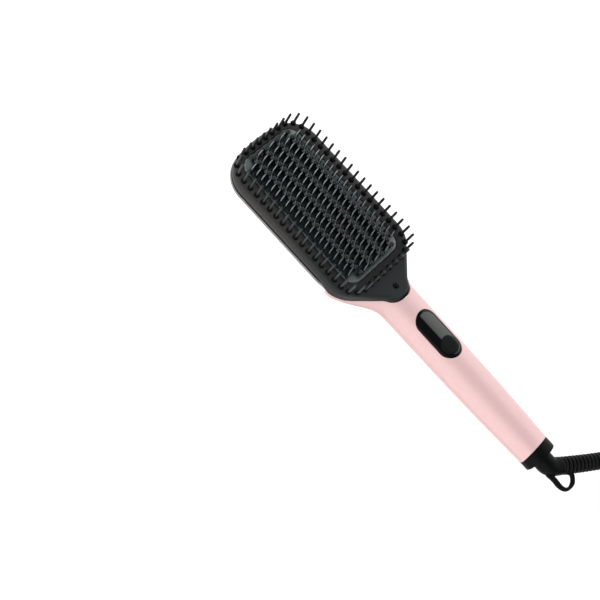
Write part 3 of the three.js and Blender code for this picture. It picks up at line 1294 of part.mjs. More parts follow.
add("swivel_elbow", swivelElbow(), BLACK);
add("strain_relief", strainRelief(), RUBBER);
add("cord", cordStart, RUBBER);
add("cord_coil", cordCoil(), RUBBER);
add("cord_tail", cordTail, RUBBER);
add("cord_tie", cordTie(), BLACK);
add("plug", plugBody(), BLACK);
add("plug_pin_1", plugPin(-1), STEEL);
add("plug_pin_2", plugPin(1), STEEL);
comb.position.x = -OWN_LENGTH / 2;

export default comb;
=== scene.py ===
"""A hair straightening comb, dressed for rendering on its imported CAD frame.

Lengths are millimetres from the tip of the head, as the comb is measured on a bench: x along the
comb, y across, z up from the table. metres() turns them into the frame's own coordinates.
"""
import json
from functools import partial

import bmesh
import bpy
import numpy as np
from mathutils import Matrix, Vector


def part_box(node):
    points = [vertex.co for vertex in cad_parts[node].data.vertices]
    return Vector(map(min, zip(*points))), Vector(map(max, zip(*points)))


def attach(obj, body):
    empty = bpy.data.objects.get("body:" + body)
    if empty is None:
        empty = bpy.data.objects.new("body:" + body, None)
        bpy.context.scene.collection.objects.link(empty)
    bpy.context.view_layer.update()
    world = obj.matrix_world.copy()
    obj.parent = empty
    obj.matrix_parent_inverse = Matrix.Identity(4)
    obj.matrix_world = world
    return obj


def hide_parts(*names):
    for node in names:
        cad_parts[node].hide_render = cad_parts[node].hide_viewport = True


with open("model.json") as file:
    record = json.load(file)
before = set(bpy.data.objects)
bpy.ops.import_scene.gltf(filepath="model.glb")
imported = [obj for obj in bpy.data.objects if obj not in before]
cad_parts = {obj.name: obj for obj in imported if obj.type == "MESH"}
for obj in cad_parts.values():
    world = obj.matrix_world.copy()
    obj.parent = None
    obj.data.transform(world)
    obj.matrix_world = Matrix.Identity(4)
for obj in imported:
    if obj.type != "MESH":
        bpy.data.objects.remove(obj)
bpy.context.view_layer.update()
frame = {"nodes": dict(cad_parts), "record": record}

MM = 0.001
TIP_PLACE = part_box("head_cover")[0].x / MM

# Clearance between neighbouring parts
GAP = 0.3

# Head outline
HEAD_HALF_WIDTH = 36.7
TIP_BOW_RADIUS = 110
TIP_CORNER_RADIUS = 22
SHOULDER_START = 107
SHOULDER_RADIUS = 20
FLANK_ANGLE = np.radians(46)
LOBE_SLOPE = np.radians(26)
LOBE_END_HALF_WIDTH = 2.4
LOBE_CORNER_RADIUS = 9.5
LOBE_FILLET_RADIUS = 12
LOBE_CORNER_PLACE = 137.21
LOBE_END = LOBE_CORNER_PLACE + LOBE_CORNER_RADIUS

# Heights and edges in the head
FACE_HEIGHT = 26.3
COVER_BOTTOM = 19.9
COVER_UNDER = 23.8
COVER_EDGE = 3.4
TRIM_BOTTOM = 16.1
TRIM_TOP = 19.6
TRIM_SEAM = 18.6
TRIM_DRAWN_IN = 1.8
SKIRT_DROP = (99, 111)
SKIRT_LOW = 16.3
SHELL_RIM = 15.8

# Guard pins
PIN_RING_START = 4
PIN_RING_END = 125
PIN_RING_HALF_WIDTH = 31.3
PIN_RING_CORNER = 12
PIN_PITCH = 6.3
PIN_HEIGHT = 13.9
PIN_RADIUS = 0.95

# Heating plate, blades, webs and ball pegs
PLATE_START = 7.3
PLATE_END = 118.8
PLATE_HALF_WIDTH = 25.5
PLATE_CORNER = 9
PLATE_TOP = 27.3
PLATE_FLANGE = 2
PLATE_CENTRE = (PLATE_START + PLATE_END) / 2
ROW_COUNT = 23
ROW_PITCH = 4.7
BLADE_COLUMNS = 5
BLADE_COLUMN_PITCH = 10.9
BLADE_LENGTH = 7.2
BLADE_BASE = 2.8
BLADE_TOP_LENGTH = 6.1
BLADE_HEIGHT = 5.6
CREST_TURN = np.radians(13)
CREST_BOW = 0.3
PAD_RADIUS = 1.35
PAD_HEIGHT = 3.6
WEB_TOP = 5.5
WEB_SINK = 0.8
WEB_HALF_WIDTH = 0.42
PEG_HEIGHT = 6.6
PEG_RADIUS = 1
BALL_RADIUS = 1.7

# Shells
AXIS_HEIGHT = 13.51
BACK_WALL = 1.4
TOP_WALL = 1.6
COVER_WALL = 1.2
NECK_START = 109
NECK_END = 147.01
NECK_INSET = 0.2
HANDLE_END = 281.61
HANDLE_HALF_WIDTH = 14.9
HANDLE_FLATNESS = 0.9
HANDLE_TAPER = 2.25
TOP_SHELL_START = 108
BOWL_REACH = 23
BOWL_CURVE = 1.6
BOWL_EDGE_INSET = 0.6
BOWL_BLEND = (98, 130)
SPINE_START = 34
SCREW_PLACES = (33.05, 93.05, 151.21, 235.01)
SCREW_WELL_RADIUS = 2.9
SCREW_WELL_TOP = 2.4

# Panel, button and ion outlet
PANEL_START = 160.71
PANEL_END = 199.51
PANEL_HALF_WIDTH = 8.8
BUTTON_PLACE = 190.51
BUTTON_RADIUS = 6.5
BUTTON_GAP = 0.25
BUTTON_SUNK = 0.5
PANEL_PROUD = 0.1
# Where the panel's painted reflection lies: its inset from the pill's edge, its soft edge, and the span
# across where it fades in
REFLECTION_INSET = 1.9
REFLECTION_SOFTNESS = 0.12
REFLECTION_EDGE = (-2.8, -1.6)
ION_PLACE = 137.21
ION_HOLE_RADIUS = 2.4

# End cap and swivel
CAP_FACE = 288.51
CAP_EDGE = 0.3
CAP_BOW = 1.9
BOW_REACH = 14
STEM_RADIUS = 6.9
BEND_PLACE = 297.41
BEND_RADIUS = 8
BEND = np.array([BEND_PLACE, 0, AXIS_HEIGHT])
ARM_ANGLE = np.radians(53)
ARM_DIRECTION = np.array([np.cos(ARM_ANGLE), np.sin(ARM_ANGLE), 0])
ARM_LENGTH = 9.6
ARM_SLIMMING = 0.9
ARM_END_ROUND = np.array([0.1, 0.45])
LOOP_HOLE = np.array([
    [6.2, -1.7], [9.9, -2.0], [13.7, -2.4], [16.3, -2.0], [17.8, -0.8], [18.5, 1.4],
    [17.6, 4.4], [15.9, 6.5], [13.9, 7.2], [10.1, 3.3], [7.8, 0.5],
])
LOOP_EDGE = np.array([
    [1.4, -6.0], [7.5, -5.9], [12.9, -6.2], [16.9, -5.2], [19.6, -3.0], [20.7, 0.6],
    [20.6, 4.8], [18.4, 8.2], [14.4, 10.6], [6.5, 7.5], [0.0, 0.0],
])
LOOP_THICKNESS = 3.6
LOOP_ROUNDNESS = 0.85
SLEEVE_RADIUS = 6.3
SLEEVE_END_RADIUS = 5.9
SLEEVE_GROOVE = 1.7
GROOVE_PLACE = 0.85
GROOVE_SHARPNESS = 1.6
SLEEVE_LENGTH = 45
SLEEVE_RIBS = 15
SLEEVE_BEND = np.radians(4)

# Cord
CORD_RADIUS = 3
COIL_CENTRE = np.array([386.01, 38])
COIL_RADIUS = 46
COIL_PITCH = 6.7
COIL_LAYER_TURNS = 4
COIL_LIFT = 1
COIL_START_ANGLE = np.radians(115)
COIL_END_ANGLE = np.radians(62)
COIL_SWEEP = COIL_START_ANGLE - COIL_END_ANGLE + 2 * np.pi * (2 * COIL_LAYER_TURNS - 1)
# Points in each turn of the coil, and how many parts of a turn its straight leads are aimed by
COIL_STEPS = 48
COIL_LEAD_STEPS = 18
CORD_START_REACH = 18
TAIL_COIL_REACH = 10
TAIL_PLUG_REACH = 27
TIE_WIDTH = 9
TIE_THICKNESS = 0.5
TIE_CORNER = 1.5

# Plug
PLUG_PLACE = np.array([451.61, 42])
PLUG_LENGTH = 34
PLUG_HALF_WIDTH = 12.5
PLUG_NECK_HALF_WIDTH = 5.5
PLUG_THICKNESS = 13.6
PLUG_PIN_RADIUS = 2
PLUG_PIN_LENGTH = 18
PLUG_PIN_SPACING = 14
PLUG_HEIGHT = GAP + PLUG_THICKNESS / 2


# Meshes


def metres(points):
    """Bench millimetres as the frame's metres."""
    return (np.asarray(points, float) + [TIP_PLACE, 0, 0]) * MM


def points_of(x, y, z):
    """Points from their three coordinates, each of them spread over the rows and columns of the others."""
    return np.stack(np.broadcast_arrays(x, y, z), axis=-1)


def once_round(count):
    """Cosine and sine at even angles once round."""
    turn = np.arange(count) * 2 * np.pi / count
    return np.cos(turn), np.sin(turn)


def powered(value, power):
    """A power of the value's size, with its sign kept."""
    return np.sign(value) * abs(value) ** power


def surface(rows, round_rows=False, round_columns=True, caps=False):
    """Rows of points as (points, four-cornered faces), joined to their own start where they run round.

    caps closes the first and the last row with one face each.
    """
    points = np.asarray(rows)
    own = np.arange(points[..., 0].size).reshape(points.shape[:2])
    grid = np.pad(own, ((0, int(round_rows)), (0, int(round_columns))), mode="wrap")
    corners = [grid[:-1, :-1], grid[:-1, 1:], grid[1:, 1:], grid[1:, :-1]]
    faces = np.stack(corners, axis=-1).reshape(-1, 4).tolist()
    if caps:
        faces += [own[0, ::-1].tolist(), own[-1].tolist()]
    return points.reshape(-1, 3), faces


def repeated(template, places):
    """Copies of one shape, its points moved by each place in turn."""
    points, faces = template
    return joined(*[(points + place, faces) for place in places])


def joined(*shapes):
    """Several shapes as one list of points and faces."""
    points, faces, count = [], [], 0
    for shape_points, shape_faces in shapes:
        points.append(shape_points)
        faces += [[corner + count for corner in face] for face in shape_faces]
        count += len(shape_points)
    return np.concatenate(points), faces


def both_sides(half):
    """A surface on one side of the middle, with its mirror image on the other."""
    return joined(*[surface(half * [1, side, 1], round_columns=False) for side in (1, -1)])


def add_object(name, data):
    """A new object of the scene."""
    thing = bpy.data.objects.new(name, data)
    bpy.context.collection.objects.link(thing)
    return thing


def mesh_from(name, shape):
    """A mesh from (points, faces)."""
    points, faces = shape
    mesh = bpy.data.meshes.new(name)
    mesh.from_pydata(metres(points).tolist(), [], faces)
    return mesh


def shade(mesh, sharp=35):
    """Smooth shading, but for edges sharper than an angle in degrees."""
    mesh.shade_smooth()
    mesh.set_sharp_from_angle(angle=np.radians(sharp))


def make(name, shape, material, body, nodes=(), sharp=35, inside=None):
    """A mesh object from (points, faces), its doubles merged and its faces turned outwards.

    An open surface is turned by a point that lies inside it, a closed one by its own volume.
    """
    mesh = mesh_from(name, shape)
    work = bmesh.new()
    work.from_mesh(mesh)
    bmesh.ops.remove_doubles(work, verts=work.verts, dist=2e-6)
    bmesh.ops.dissolve_degenerate(work, dist=1e-7, edges=work.edges)
    bmesh.ops.recalc_face_normals(work, faces=work.faces)
    if inside is not None:
        centre = Vector(metres(inside))
        facing = sum(f.normal.dot(f.calc_center_median() - centre) * f.calc_area() for f in work.faces)
        if facing < 0:
            bmesh.ops.reverse_faces(work, faces=work.faces)
    work.to_mesh(mesh)
    work.free()
    shade(mesh, sharp)
    piece = add_object(name, mesh)
    mesh.materials.append(material)
    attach(piece, body)
    if nodes:
        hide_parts(*nodes)
    return piece


def walled(piece, thickness, bevel=0.0):
    """Gives an open surface a wall on its inner side, with its edges rounded over if bevel isn't 0."""
    wall = piece.modifiers.new("Wall", "SOLIDIFY")
    wall.thickness = thickness * MM
    wall.use_even_offset = True
    if bevel:
        edge = piece.modifiers.new("Edge", "BEVEL")
        edge.width = bevel * MM
        edge.segments = 2
        edge.limit_method = "ANGLE"
        edge.angle_limit = np.radians(50)


def drilled(piece, tools):
    """Cuts solid shapes out of a piece, and keeps the result as its mesh."""
    mesh = mesh_from("drill", joined(*tools))
    mesh.validate()
    drill = add_object("drill", mesh)
    cut = piece.modifiers.new("Cut", "BOOLEAN")
    cut.operation = "DIFFERENCE"
    cut.object = drill
    cut.solver = "EXACT"
    bpy.context.view_layer.update()
    evaluated = piece.evaluated_get(bpy.context.evaluated_depsgraph_get())
    result = bpy.data.meshes.new_from_object(evaluated)
    piece.modifiers.clear()
    piece.data = result
    shade(result)
    bpy.data.objects.remove(drill)


# Profiles and outlines


def arc(cx, cy, radius, start, end, steps):
    """Points at even angles on a circle."""
    turn = np.linspace(start, end, steps + 1)
    return np.column_stack([cx + radius * np.cos(turn), cy + radius * np.sin(turn)])


def linked(stretches, between):
    """Stretches in a row, with a number of evenly spaced points between each and the next."""
    out = [stretches[0]]
    for stretch, count in zip(stretches[1:], between):
        share = np.linspace(0, 1, count + 2)[1:-1, None]
        out.append(out[-1][-1] * (1 - share) + stretch[0] * share)
        out.append(stretch)
    return np.concatenate(out)


def mirrored(half):
    """A half outline that starts and ends on the centre line, with its mirror image: a closed loop."""
    return np.concatenate([half, half[::-1][1:-1] * [1, -1]])


def head_half(inset):
    """Half of the head's outline, drawn in by inset: tip bow, tip corner, shoulder, fillet and lobe."""
    quarter = np.pi / 2
    corner_y = HEAD_HALF_WIDTH - TIP_CORNER_RADIUS
    reach = TIP_BOW_RADIUS - TIP_CORNER_RADIUS
    turn = np.arcsin(corner_y / reach)
    corner_x = TIP_BOW_RADIUS - reach * np.cos(turn)
    shoulder_y = HEAD_HALF_WIDTH - SHOULDER_RADIUS
    apart = LOBE_CORNER_RADIUS + LOBE_FILLET_RADIUS
    fillet_x = LOBE_CORNER_PLACE + apart * np.sin(LOBE_SLOPE)
    fillet_y = LOBE_END_HALF_WIDTH + apart * np.cos(LOBE_SLOPE)
    stretches = [
        arc(TIP_BOW_RADIUS, 0, TIP_BOW_RADIUS - inset, np.pi, np.pi - turn, 10),
        arc(corner_x, corner_y, TIP_CORNER_RADIUS - inset, np.pi - turn, quarter, 16)[1:],
        arc(SHOULDER_START, shoulder_y, SHOULDER_RADIUS - inset, quarter, quarter - FLANK_ANGLE, 12),
        arc(fillet_x, fillet_y, LOBE_FILLET_RADIUS + inset,
            -quarter - FLANK_ANGLE, -quarter - LOBE_SLOPE, 8),
        arc(LOBE_CORNER_PLACE, LOBE_END_HALF_WIDTH, LOBE_CORNER_RADIUS - inset,
            quarter - LOBE_SLOPE, 0, 14)[1:],
        np.array([[LOBE_END - inset, 0.0]]),
    ]
    return linked(stretches, [0, 24, 8, 0, 2])


def head_outline(inset):
    """The head's whole outline, drawn in by inset."""
    return mirrored(head_half(inset))


def rounded_rectangle(x0, x1, half_width, radius, steps, along):
    """A closed outline with round corners, starting in the middle of its low end."""
    low = arc(x0 + radius, half_width - radius, radius, np.pi, np.pi / 2, steps)
    high = arc(x1 - radius, half_width - radius, radius, np.pi / 2, 0, steps)
    return mirrored(linked([np.array([[x0, 0.0]]), low, high, np.array([[x1, 0.0]])], [6, along, 6]))


def by_angle(outline, centre, angles):
    """Points where rays from centre at these angles meet an outline that goes round it once."""
    across, along = (outline - centre).T
    reach = np.interp(angles, np.arctan2(along, across), np.hypot(across, along), period=2 * np.pi)
    return centre + reach[:, None] * np.column_stack([np.cos(angles), np.sin(angles)])


def at_height(outline, z):
    """An outline's points, all at one height."""
    return points_of(*outline.T, float(z))


def turned(profile, sides, place=(0, 0)):
    """A profile of (radius, height) turned round an upright axis."""
    radius, height = np.array(profile, float).T[:, :, None]
    cosine, sine = once_round(sides)
    return surface(points_of(place[0] + radius * cosine, place[1] + radius * sine, height))


def smoothstep(x, low, high):
    """0 below low and 1 above high, with an even S between."""
    t = np.clip((np.asarray(x, float) - low) / (high - low), 0, 1)
    return t * t * (3 - 2 * t)


def half_width_at(x):
    """The handle's half width: even from the neck, a little narrower to the end, wide in the head."""
    along = np.clip((x - NECK_END) / (HANDLE_END - NECK_END), 0, 1)
    handle = HANDLE_HALF_WIDTH - HANDLE_TAPER * along**3
    wider = HEAD_HALF_WIDTH - NECK_INSET - HANDLE_HALF_WIDTH
    return handle + wider * (1 - smoothstep(x, NECK_START, NECK_END))


def half_height_at(x):
    """The handle's half height: a share of its half width, level through the head."""
    return np.minimum(half_width_at(x), HANDLE_HALF_WIDTH) * HANDLE_FLATNESS


def on_handle(x, y, proud=0.0):
    """Height of the handle's upper surface above (x, y), on its elliptical section."""
    share = np.clip(y / half_width_at(x), -1, 1)
    return AXIS_HEIGHT + half_height_at(x) * np.sqrt(1 - share**2) + proud


# Routes


def bend_between(start, start_heading, start_reach, end, end_heading, end_reach):
    """A cubic curve that leaves start along its heading and comes in to end along the other one."""
    first = start + GAP * start_heading
    last = end - GAP * end_heading
    t = np.linspace(0, 1, 25)[:, None]
    return (
        (1 - t) ** 3 * first
        + 3 * (1 - t) ** 2 * t * (first + start_reach * start_heading)
        + 3 * (1 - t) * t**2 * (last - end_reach * end_heading)
        + t**3 * last
    )


def tube(path, radii, sides):
    """Circles of the given radii, square to a path, closed at both ends."""
    ahead = np.gradient(path, axis=0)
    ahead /= np.linalg.norm(ahead, axis=1)[:, None]
    across = np.cross(ahead, (0, 0, 1))
    across /= np.linalg.norm(across, axis=1)[:, None]
    rise = np.cross(across, ahead)
    cosine, sine = once_round(sides)
    circle = cosine[None, :, None] * across[:, None] + sine[None, :, None] * rise[:, None]
    return surface(path[:, None] + radii[:, None, None] * circle, caps=True)


def sleeve_path(along):
    """Points at these distances along the sleeve: it leaves along the arm and bends a little to +Y."""
    fine = np.linspace(0, SLEEVE_LENGTH, 400)
    turn = ARM_ANGLE + SLEEVE_BEND * fine[:-1] / SLEEVE_LENGTH
    step = fine[1] - fine[0]
    x, y = [np.concatenate([[0], np.cumsum(v * step)]) for v in (np.cos(turn), np.sin(turn))]
    root = BEND + ARM_DIRECTION * (ARM_LENGTH + GAP)
    return root + points_of(np.interp(along, fine, x), np.interp(along, fine, y), 0)


def coil_points(turned_by):
    """The coil: in on the lower layer, up in half a turn, and out again on the upper layer."""
    middle = COIL_SWEEP / 2
    radius = COIL_RADIUS - COIL_PITCH * (middle - abs(turned_by - middle)) / (2 * np.pi)
    climb = smoothstep(turned_by, middle - np.pi / 2, middle + np.pi / 2)
    angle = COIL_START_ANGLE - turned_by
    return points_of(
        COIL_CENTRE[0] + radius * np.cos(angle),
        COIL_CENTRE[1] + radius * np.sin(angle),
        COIL_LIFT + CORD_RADIUS + climb * COIL_PITCH,
    )


def heading(start, end):
    """The direction from one point to another."""
    return (end - start) / np.linalg.norm(end - start)


def coil_path():
    """The coil's turns, with a short straight lead before the first and after the last."""
    turns = coil_points(np.linspace(0, COIL_SWEEP, int(COIL_SWEEP / (2 * np.pi) * COIL_STEPS)))
    step = COIL_SWEEP / round(COIL_SWEEP / (2 * np.pi) * COIL_LEAD_STEPS)
    ends = coil_points(np.array([0, step, COIL_SWEEP - step, COIL_SWEEP]))
    lead = 2 * CORD_RADIUS
    before = turns[0] + lead * heading(ends[1], ends[0])
    after = turns[-1] + lead * heading(ends[2], ends[3])
    return np.vstack([before, turns, after])


def cord_route():
    """The cord's centre line: through the sleeve, down to the table, round the coil and to the plug."""
    coil = coil_path()
    sleeve = sleeve_path(np.linspace(0, SLEEVE_LENGTH, 10))
    plug = np.array([*PLUG_PLACE, PLUG_HEIGHT])
    turn = ARM_ANGLE + SLEEVE_BEND
    out, backwards = np.array([np.cos(turn), np.sin(turn), 0]), np.array([0.0, -1.0, 0.0])
    coming, leaving = heading(coil[0], coil[1]), heading(coil[-2], coil[-1])
    start = bend_between(sleeve[-1], out, CORD_START_REACH, coil[0], coming, CORD_START_REACH)
    tail = bend_between(coil[-1], leaving, TAIL_COIL_REACH, plug, backwards, TAIL_PLUG_REACH)
    return np.vstack([sleeve, start, coil, tail, plug + 3 * backwards])


# Materials


def srgb(red, green, blue):
    """A colour as it is read off a screen, 0 to 255, as the shader's linear values."""
    c = np.array([red, green, blue]) / 255
    return (*np.where(c <= 0.04045, c / 12.92, ((c + 0.055) / 1.055) ** 2.4), 1.0)


def shader_node(owner, kind, inputs=None, **settings):
    """A node in the shader of a material or world; each input takes a value or another node's output."""
    tree = owner.node_tree
    node = tree.nodes.new("ShaderNode" + kind)
    for name, value in settings.items():
        setattr(node, name, value)
    for name, value in (inputs or {}).items():
        if isinstance(value, bpy.types.NodeSocket):
            tree.links.new(value, node.inputs[name])
        else:
            node.inputs[name].default_value = value
    return node


def worked_out(owner, operation, *values):
    """One arithmetic step with shader values."""
    return shader_node(owner, "Math", dict(enumerate(values)), operation=operation).outputs[0]


def ramp(owner, value, low, high, start=0.0, end=1.0, kind="SMOOTHSTEP"):
    """A shader value that passes from start to end while another one runs from low to high."""
    inputs = {"Value": value, "From Min": low, "From Max": high, "To Min": start, "To Max": end}
    return shader_node(owner, "MapRange", inputs, interpolation_type=kind).outputs["Result"]


def coordinates(owner, kind="Object"):
    """Each point's three coordinates, or the direction of view's where the kind is Generated."""
    place = shader_node(owner, "TexCoord").outputs[kind]
    return shader_node(owner, "SeparateXYZ", {"Vector": place}).outputs


def blank_material(name):
    """A material with an empty shader."""
    material = bpy.data.materials.new(name)
    material.use_nodes = True
    material.node_tree.nodes.clear()
    return material


def finish(name, colour, roughness, metallic=0.0, coat=0.0, specular=0.5, shift=0.06, mottle=400.0,
           grain=6000.0, depth=0.02):
    """A surface with a slight mottle in colour and gloss, and a fine grain that catches the light.

    shift is how far the colour and the roughness wander, mottle and grain are spots a metre, and
    depth is the height of the grain in millimetres.
    """
    material = blank_material(name)
    add = partial(shader_node, material)
    place = add("TexCoord").outputs["Object"]
    spots = add("TexNoise", {"Vector": place, "Scale": mottle, "Detail": 3}).outputs["Fac"]
    fine = add("TexNoise", {"Vector": place, "Scale": grain, "Detail": 2}).outputs["Fac"]
    colours = add("ValToRGB", {"Fac": spots})
    stops = zip(colours.color_ramp.elements, (0.3, 0.7), (1 - shift, 1 + shift))
    for stop, position, share in stops:
        stop.position = position
        stop.color = [min(v * share, 1.0) for v in srgb(*colour)[:3]] + [1.0]
    smoothest, roughest = max(roughness * (1 - 2 * shift), 0.02), min(roughness * (1 + 2 * shift), 1.0)
    bump = add("Bump", {"Height": fine, "Distance": depth * MM, "Strength": 0.6})
    shader = add("BsdfPrincipled", {
        "Base Color": colours.outputs["Color"],
        "Roughness": ramp(material, spots, 0.0, 1.0, smoothest, roughest, "LINEAR"),
        "Normal": bump.outputs["Normal"],
        "Metallic": metallic,
        "Coat Weight": coat,
        "Coat Roughness": 0.08,
        "Specular IOR Level": specular,
    })
    add("OutputMaterial", {"Surface": shader.outputs["BSDF"]})
    return material


def place_step(material, axis, low, high, centre=0.0, folded=False):
    """A mask from 0 to 1 between two places along an axis, in bench millimetres; folded counts them
    both ways from the centre."""
    origin = metres([centre, 0, 0])[0] if axis == "X" else centre * MM
    place = worked_out(material, "SUBTRACT", coordinates(material)[axis], origin)
    if folded:
        place = worked_out(material, "ABSOLUTE", place)
    return ramp(material, place, low * MM, high * MM)


def second_tone(material, colour, *steps, mask=None):
    """Mixes a second colour into a finish, where each of the steps along an axis and the mask are 1."""
    for step in steps:
        found = place_step(material, *step)
        mask = found if mask is None else worked_out(material, "MULTIPLY", found, mask)
    mix = shader_node(material, "Mix", {"Factor": mask}, data_type="RGBA")
    first, second = [socket for socket in mix.inputs if socket.type == "RGBA"]
    mixed = next(socket for socket in mix.outputs if socket.type == "RGBA")
    second.default_value = srgb(*colour)
    base = material.node_tree.nodes["Principled BSDF"].inputs["Base Color"]
    material.node_tree.links.new(base.links[0].from_socket, first)
    material.node_tree.links.new(mixed, base)


def pill_mask(material, inset):
    """1 inside the panel's outline drawn in by inset: near enough to the pill's middle line."""
    work_out = partial(worked_out, material)
    place = coordinates(material)
    ends = metres([[PANEL_START + PANEL_HALF_WIDTH, 0, 0], [PANEL_END - PANEL_HALF_WIDTH, 0, 0]])[:, 0]
    nearest = shader_node(material, "Clamp", {"Value": place["X"], "Min": ends[0], "Max": ends[1]})
    past = work_out("SUBTRACT", place["X"], nearest.outputs["Result"])
    squares = [work_out("MULTIPLY", v, v) for v in (past, place["Y"])]
    away = work_out("POWER", work_out("ADD", *squares), 0.5)
    edge = PANEL_HALF_WIDTH - inset
    return ramp(material, away, edge * MM, (edge + REFLECTION_SOFTNESS) * MM, 1.0, 0.0, "LINEAR")


ROSE_SHELL = finish("rose satin paint", (234, 197, 196), 0.45, metallic=0.12, specular=0.4, shift=0.02,
                    grain=9000, depth=0.006)
# The cover: a warm black with painted shade that turns it cooler and deeper towards the neck
BLACK_SATIN = finish("black satin plastic", (62, 61, 60), 0.5, specular=0.16, grain=5000, depth=0.015)
second_tone(BLACK_SATIN, (41, 45, 45), ("X", 50, 125))
SWIVEL_BLACK = finish("black swivel plastic", (11, 12, 12), 0.42, specular=0.06, grain=5000, depth=0.012)
BLACK_PINS = finish("black pin plastic", (38, 41, 42), 0.38, specular=0.36, grain=7000, depth=0.008)
BLACK_NYLON = finish("black nylon", (22, 27, 28), 0.2, specular=0.35, grain=7000, depth=0.008)
BLACK_BUTTON = finish("black button satin", (21, 26, 25), 0.35, specular=0.06, depth=0.004)
SILVER_TRIM = finish("silver trim paint", (146, 146, 147), 0.5, metallic=0.1, specular=0.3, shift=0.04,
                     grain=9000, depth=0.006)
second_tone(SILVER_TRIM, (12, 12, 12), ("Z", TRIM_SEAM - 0.05, TRIM_SEAM + 0.05))

# The panel's glossy black with a painted reflection: a lighter grey strip on the side away from the
# plate's near edge
PANEL_GLOSS = finish("panel gloss with painted reflection", (12, 13, 14), 0.16, specular=0.16, shift=0.04, grain=3000,
                     depth=0.001)
second_tone(PANEL_GLOSS, (86, 87, 87), ("Y", *REFLECTION_EDGE), mask=pill_mask(PANEL_GLOSS, REFLECTION_INSET))

# The plate: painted shade keeps it dark among the teeth; it is lighter in a band at the neck and in the
# corners past the teeth
PLATE_WITH_SHADE = finish("heater plate with painted shade", (42, 52, 53), 0.3, metallic=0.2, mottle=250, grain=5000,
                    depth=0.004)
TOOTH_REACH = (ROW_COUNT - 1) / 2 * ROW_PITCH
second_tone(PLATE_WITH_SHADE, (78, 86, 85), ("X", -2.2, -1.2, PLATE_END))
second_tone(PLATE_WITH_SHADE, (112, 124, 122),
            ("X", TOOTH_REACH - 5, TOOTH_REACH - 1.5, PLATE_CENTRE, True),
            ("Y", PLATE_HALF_WIDTH - 9, PLATE_HALF_WIDTH - 5, 0, True))

# Blades and webs: dark sides with a painted highlight on the crests, which is painted dimmer towards the
# neck on the blades
CREST_HEIGHT = PLATE_TOP + BLADE_HEIGHT
CREST_HIGHLIGHT = ("Z", CREST_HEIGHT - 0.5, CREST_HEIGHT - 0.1)
BLADE_COAT = finish("blade coat", (36, 46, 48), 0.24, metallic=0.15, grain=5000, depth=0.003)
second_tone(BLADE_COAT, (136, 145, 147), CREST_HIGHLIGHT)
second_tone(BLADE_COAT, (92, 100, 102), ("X", 20, 115), CREST_HIGHLIGHT)
WEB_COAT = finish("web coat", (34, 44, 46), 0.3, metallic=0.15, grain=5000, depth=0.003)
# The webs' tops and the pads' domes carry a painted highlight too
second_tone(WEB_COAT, (104, 112, 114), ("Z", PLATE_TOP + PAD_HEIGHT - 0.5, PLATE_TOP + PAD_HEIGHT - 0.2))
RUBBER = finish("black rubber", (8, 8, 9), 0.36, specular=0.13, shift=0.08, grain=4000, depth=0.03)
STEEL = finish("bright steel", (196, 198, 202), 0.26, metallic=1.0, shift=0.05, mottle=900, grain=8000,
               depth=0.004)

SLOT_FINISHES = {
    "pink_plastic": ROSE_SHELL,
    "black_plastic": BLACK_SATIN,
    "black_gloss": finish("black panel gloss", (14, 15, 16), 0.12, shift=0.04, grain=3000, depth=0.001),
    "grey_trim": SILVER_TRIM,
    "plate_metal": PLATE_WITH_SHADE,
    "ceramic": finish("white ceramic", (232, 228, 218), 0.6, shift=0.03, grain=3000),
    "steel": STEEL,
    "natural_plastic": finish("natural plastic", (214, 206, 184), 0.5, grain=4000),
    "board": finish("board lacquer", (34, 104, 62), 0.35, coat=0.3, shift=0.15, mottle=1500),
    "brass": finish("brass", (201, 164, 84), 0.3, metallic=1.0, shift=0.05),
    "rubber": RUBBER,
    "red_silicone": finish("red silicone", (164, 54, 46), 0.5, grain=4000),
}


def finish_cad_nodes():
    """Each CAD node that stays takes the finish of its slot in the record."""
    for subpart in frame["record"]["subparts"]:
        node = frame["nodes"][subpart["node"]]
        node.data.materials.clear()
        node.data.materials.append(SLOT_FINISHES[subpart["material_slot"]])


# Cord, plug and tie


def make_cord():
    """The cord: a round section carried along its route."""
    route = cord_route()
    curve = bpy.data.curves.new("cord_lead", "CURVE")
    curve.dimensions = "3D"
    curve.bevel_depth = CORD_RADIUS * MM
    curve.bevel_resolution = 6
    curve.use_fill_caps = True
    spline = curve.splines.new("POLY")
    spline.points.add(len(route) - 1)
    spline.points.foreach_set("co", np.column_stack([metres(route), np.ones(len(route))]).ravel())
    spline.use_smooth = True
    cord = add_object("cord_lead", curve)
    curve.materials.append(RUBBER)
    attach(cord, "cord_swivel")
    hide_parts("cord", "cord_coil", "cord_tail")
    return cord


def make_sleeve():
    """The ribbed sleeve: its radius falls evenly along it and dips in a round groove after each rib.

    The dip is the groove's depth times (half + half a cosine of the rib's turn) to a power.
    """
    along = np.linspace(0, SLEEVE_LENGTH, SLEEVE_RIBS * 12 + 1)
    crest = SLEEVE_RADIUS + (SLEEVE_END_RADIUS - SLEEVE_RADIUS) * along / SLEEVE_LENGTH
    rib = along / SLEEVE_LENGTH * SLEEVE_RIBS
    dip = (0.5 + 0.5 * np.cos(2 * np.pi * (rib - GROOVE_PLACE))) ** GROOVE_SHARPNESS
    return make("ribbed_sleeve", tube(sleeve_path(along), crest - SLEEVE_GROOVE * dip, 40), RUBBER,
                "cord_swivel", ["strain_relief"], sharp=80)


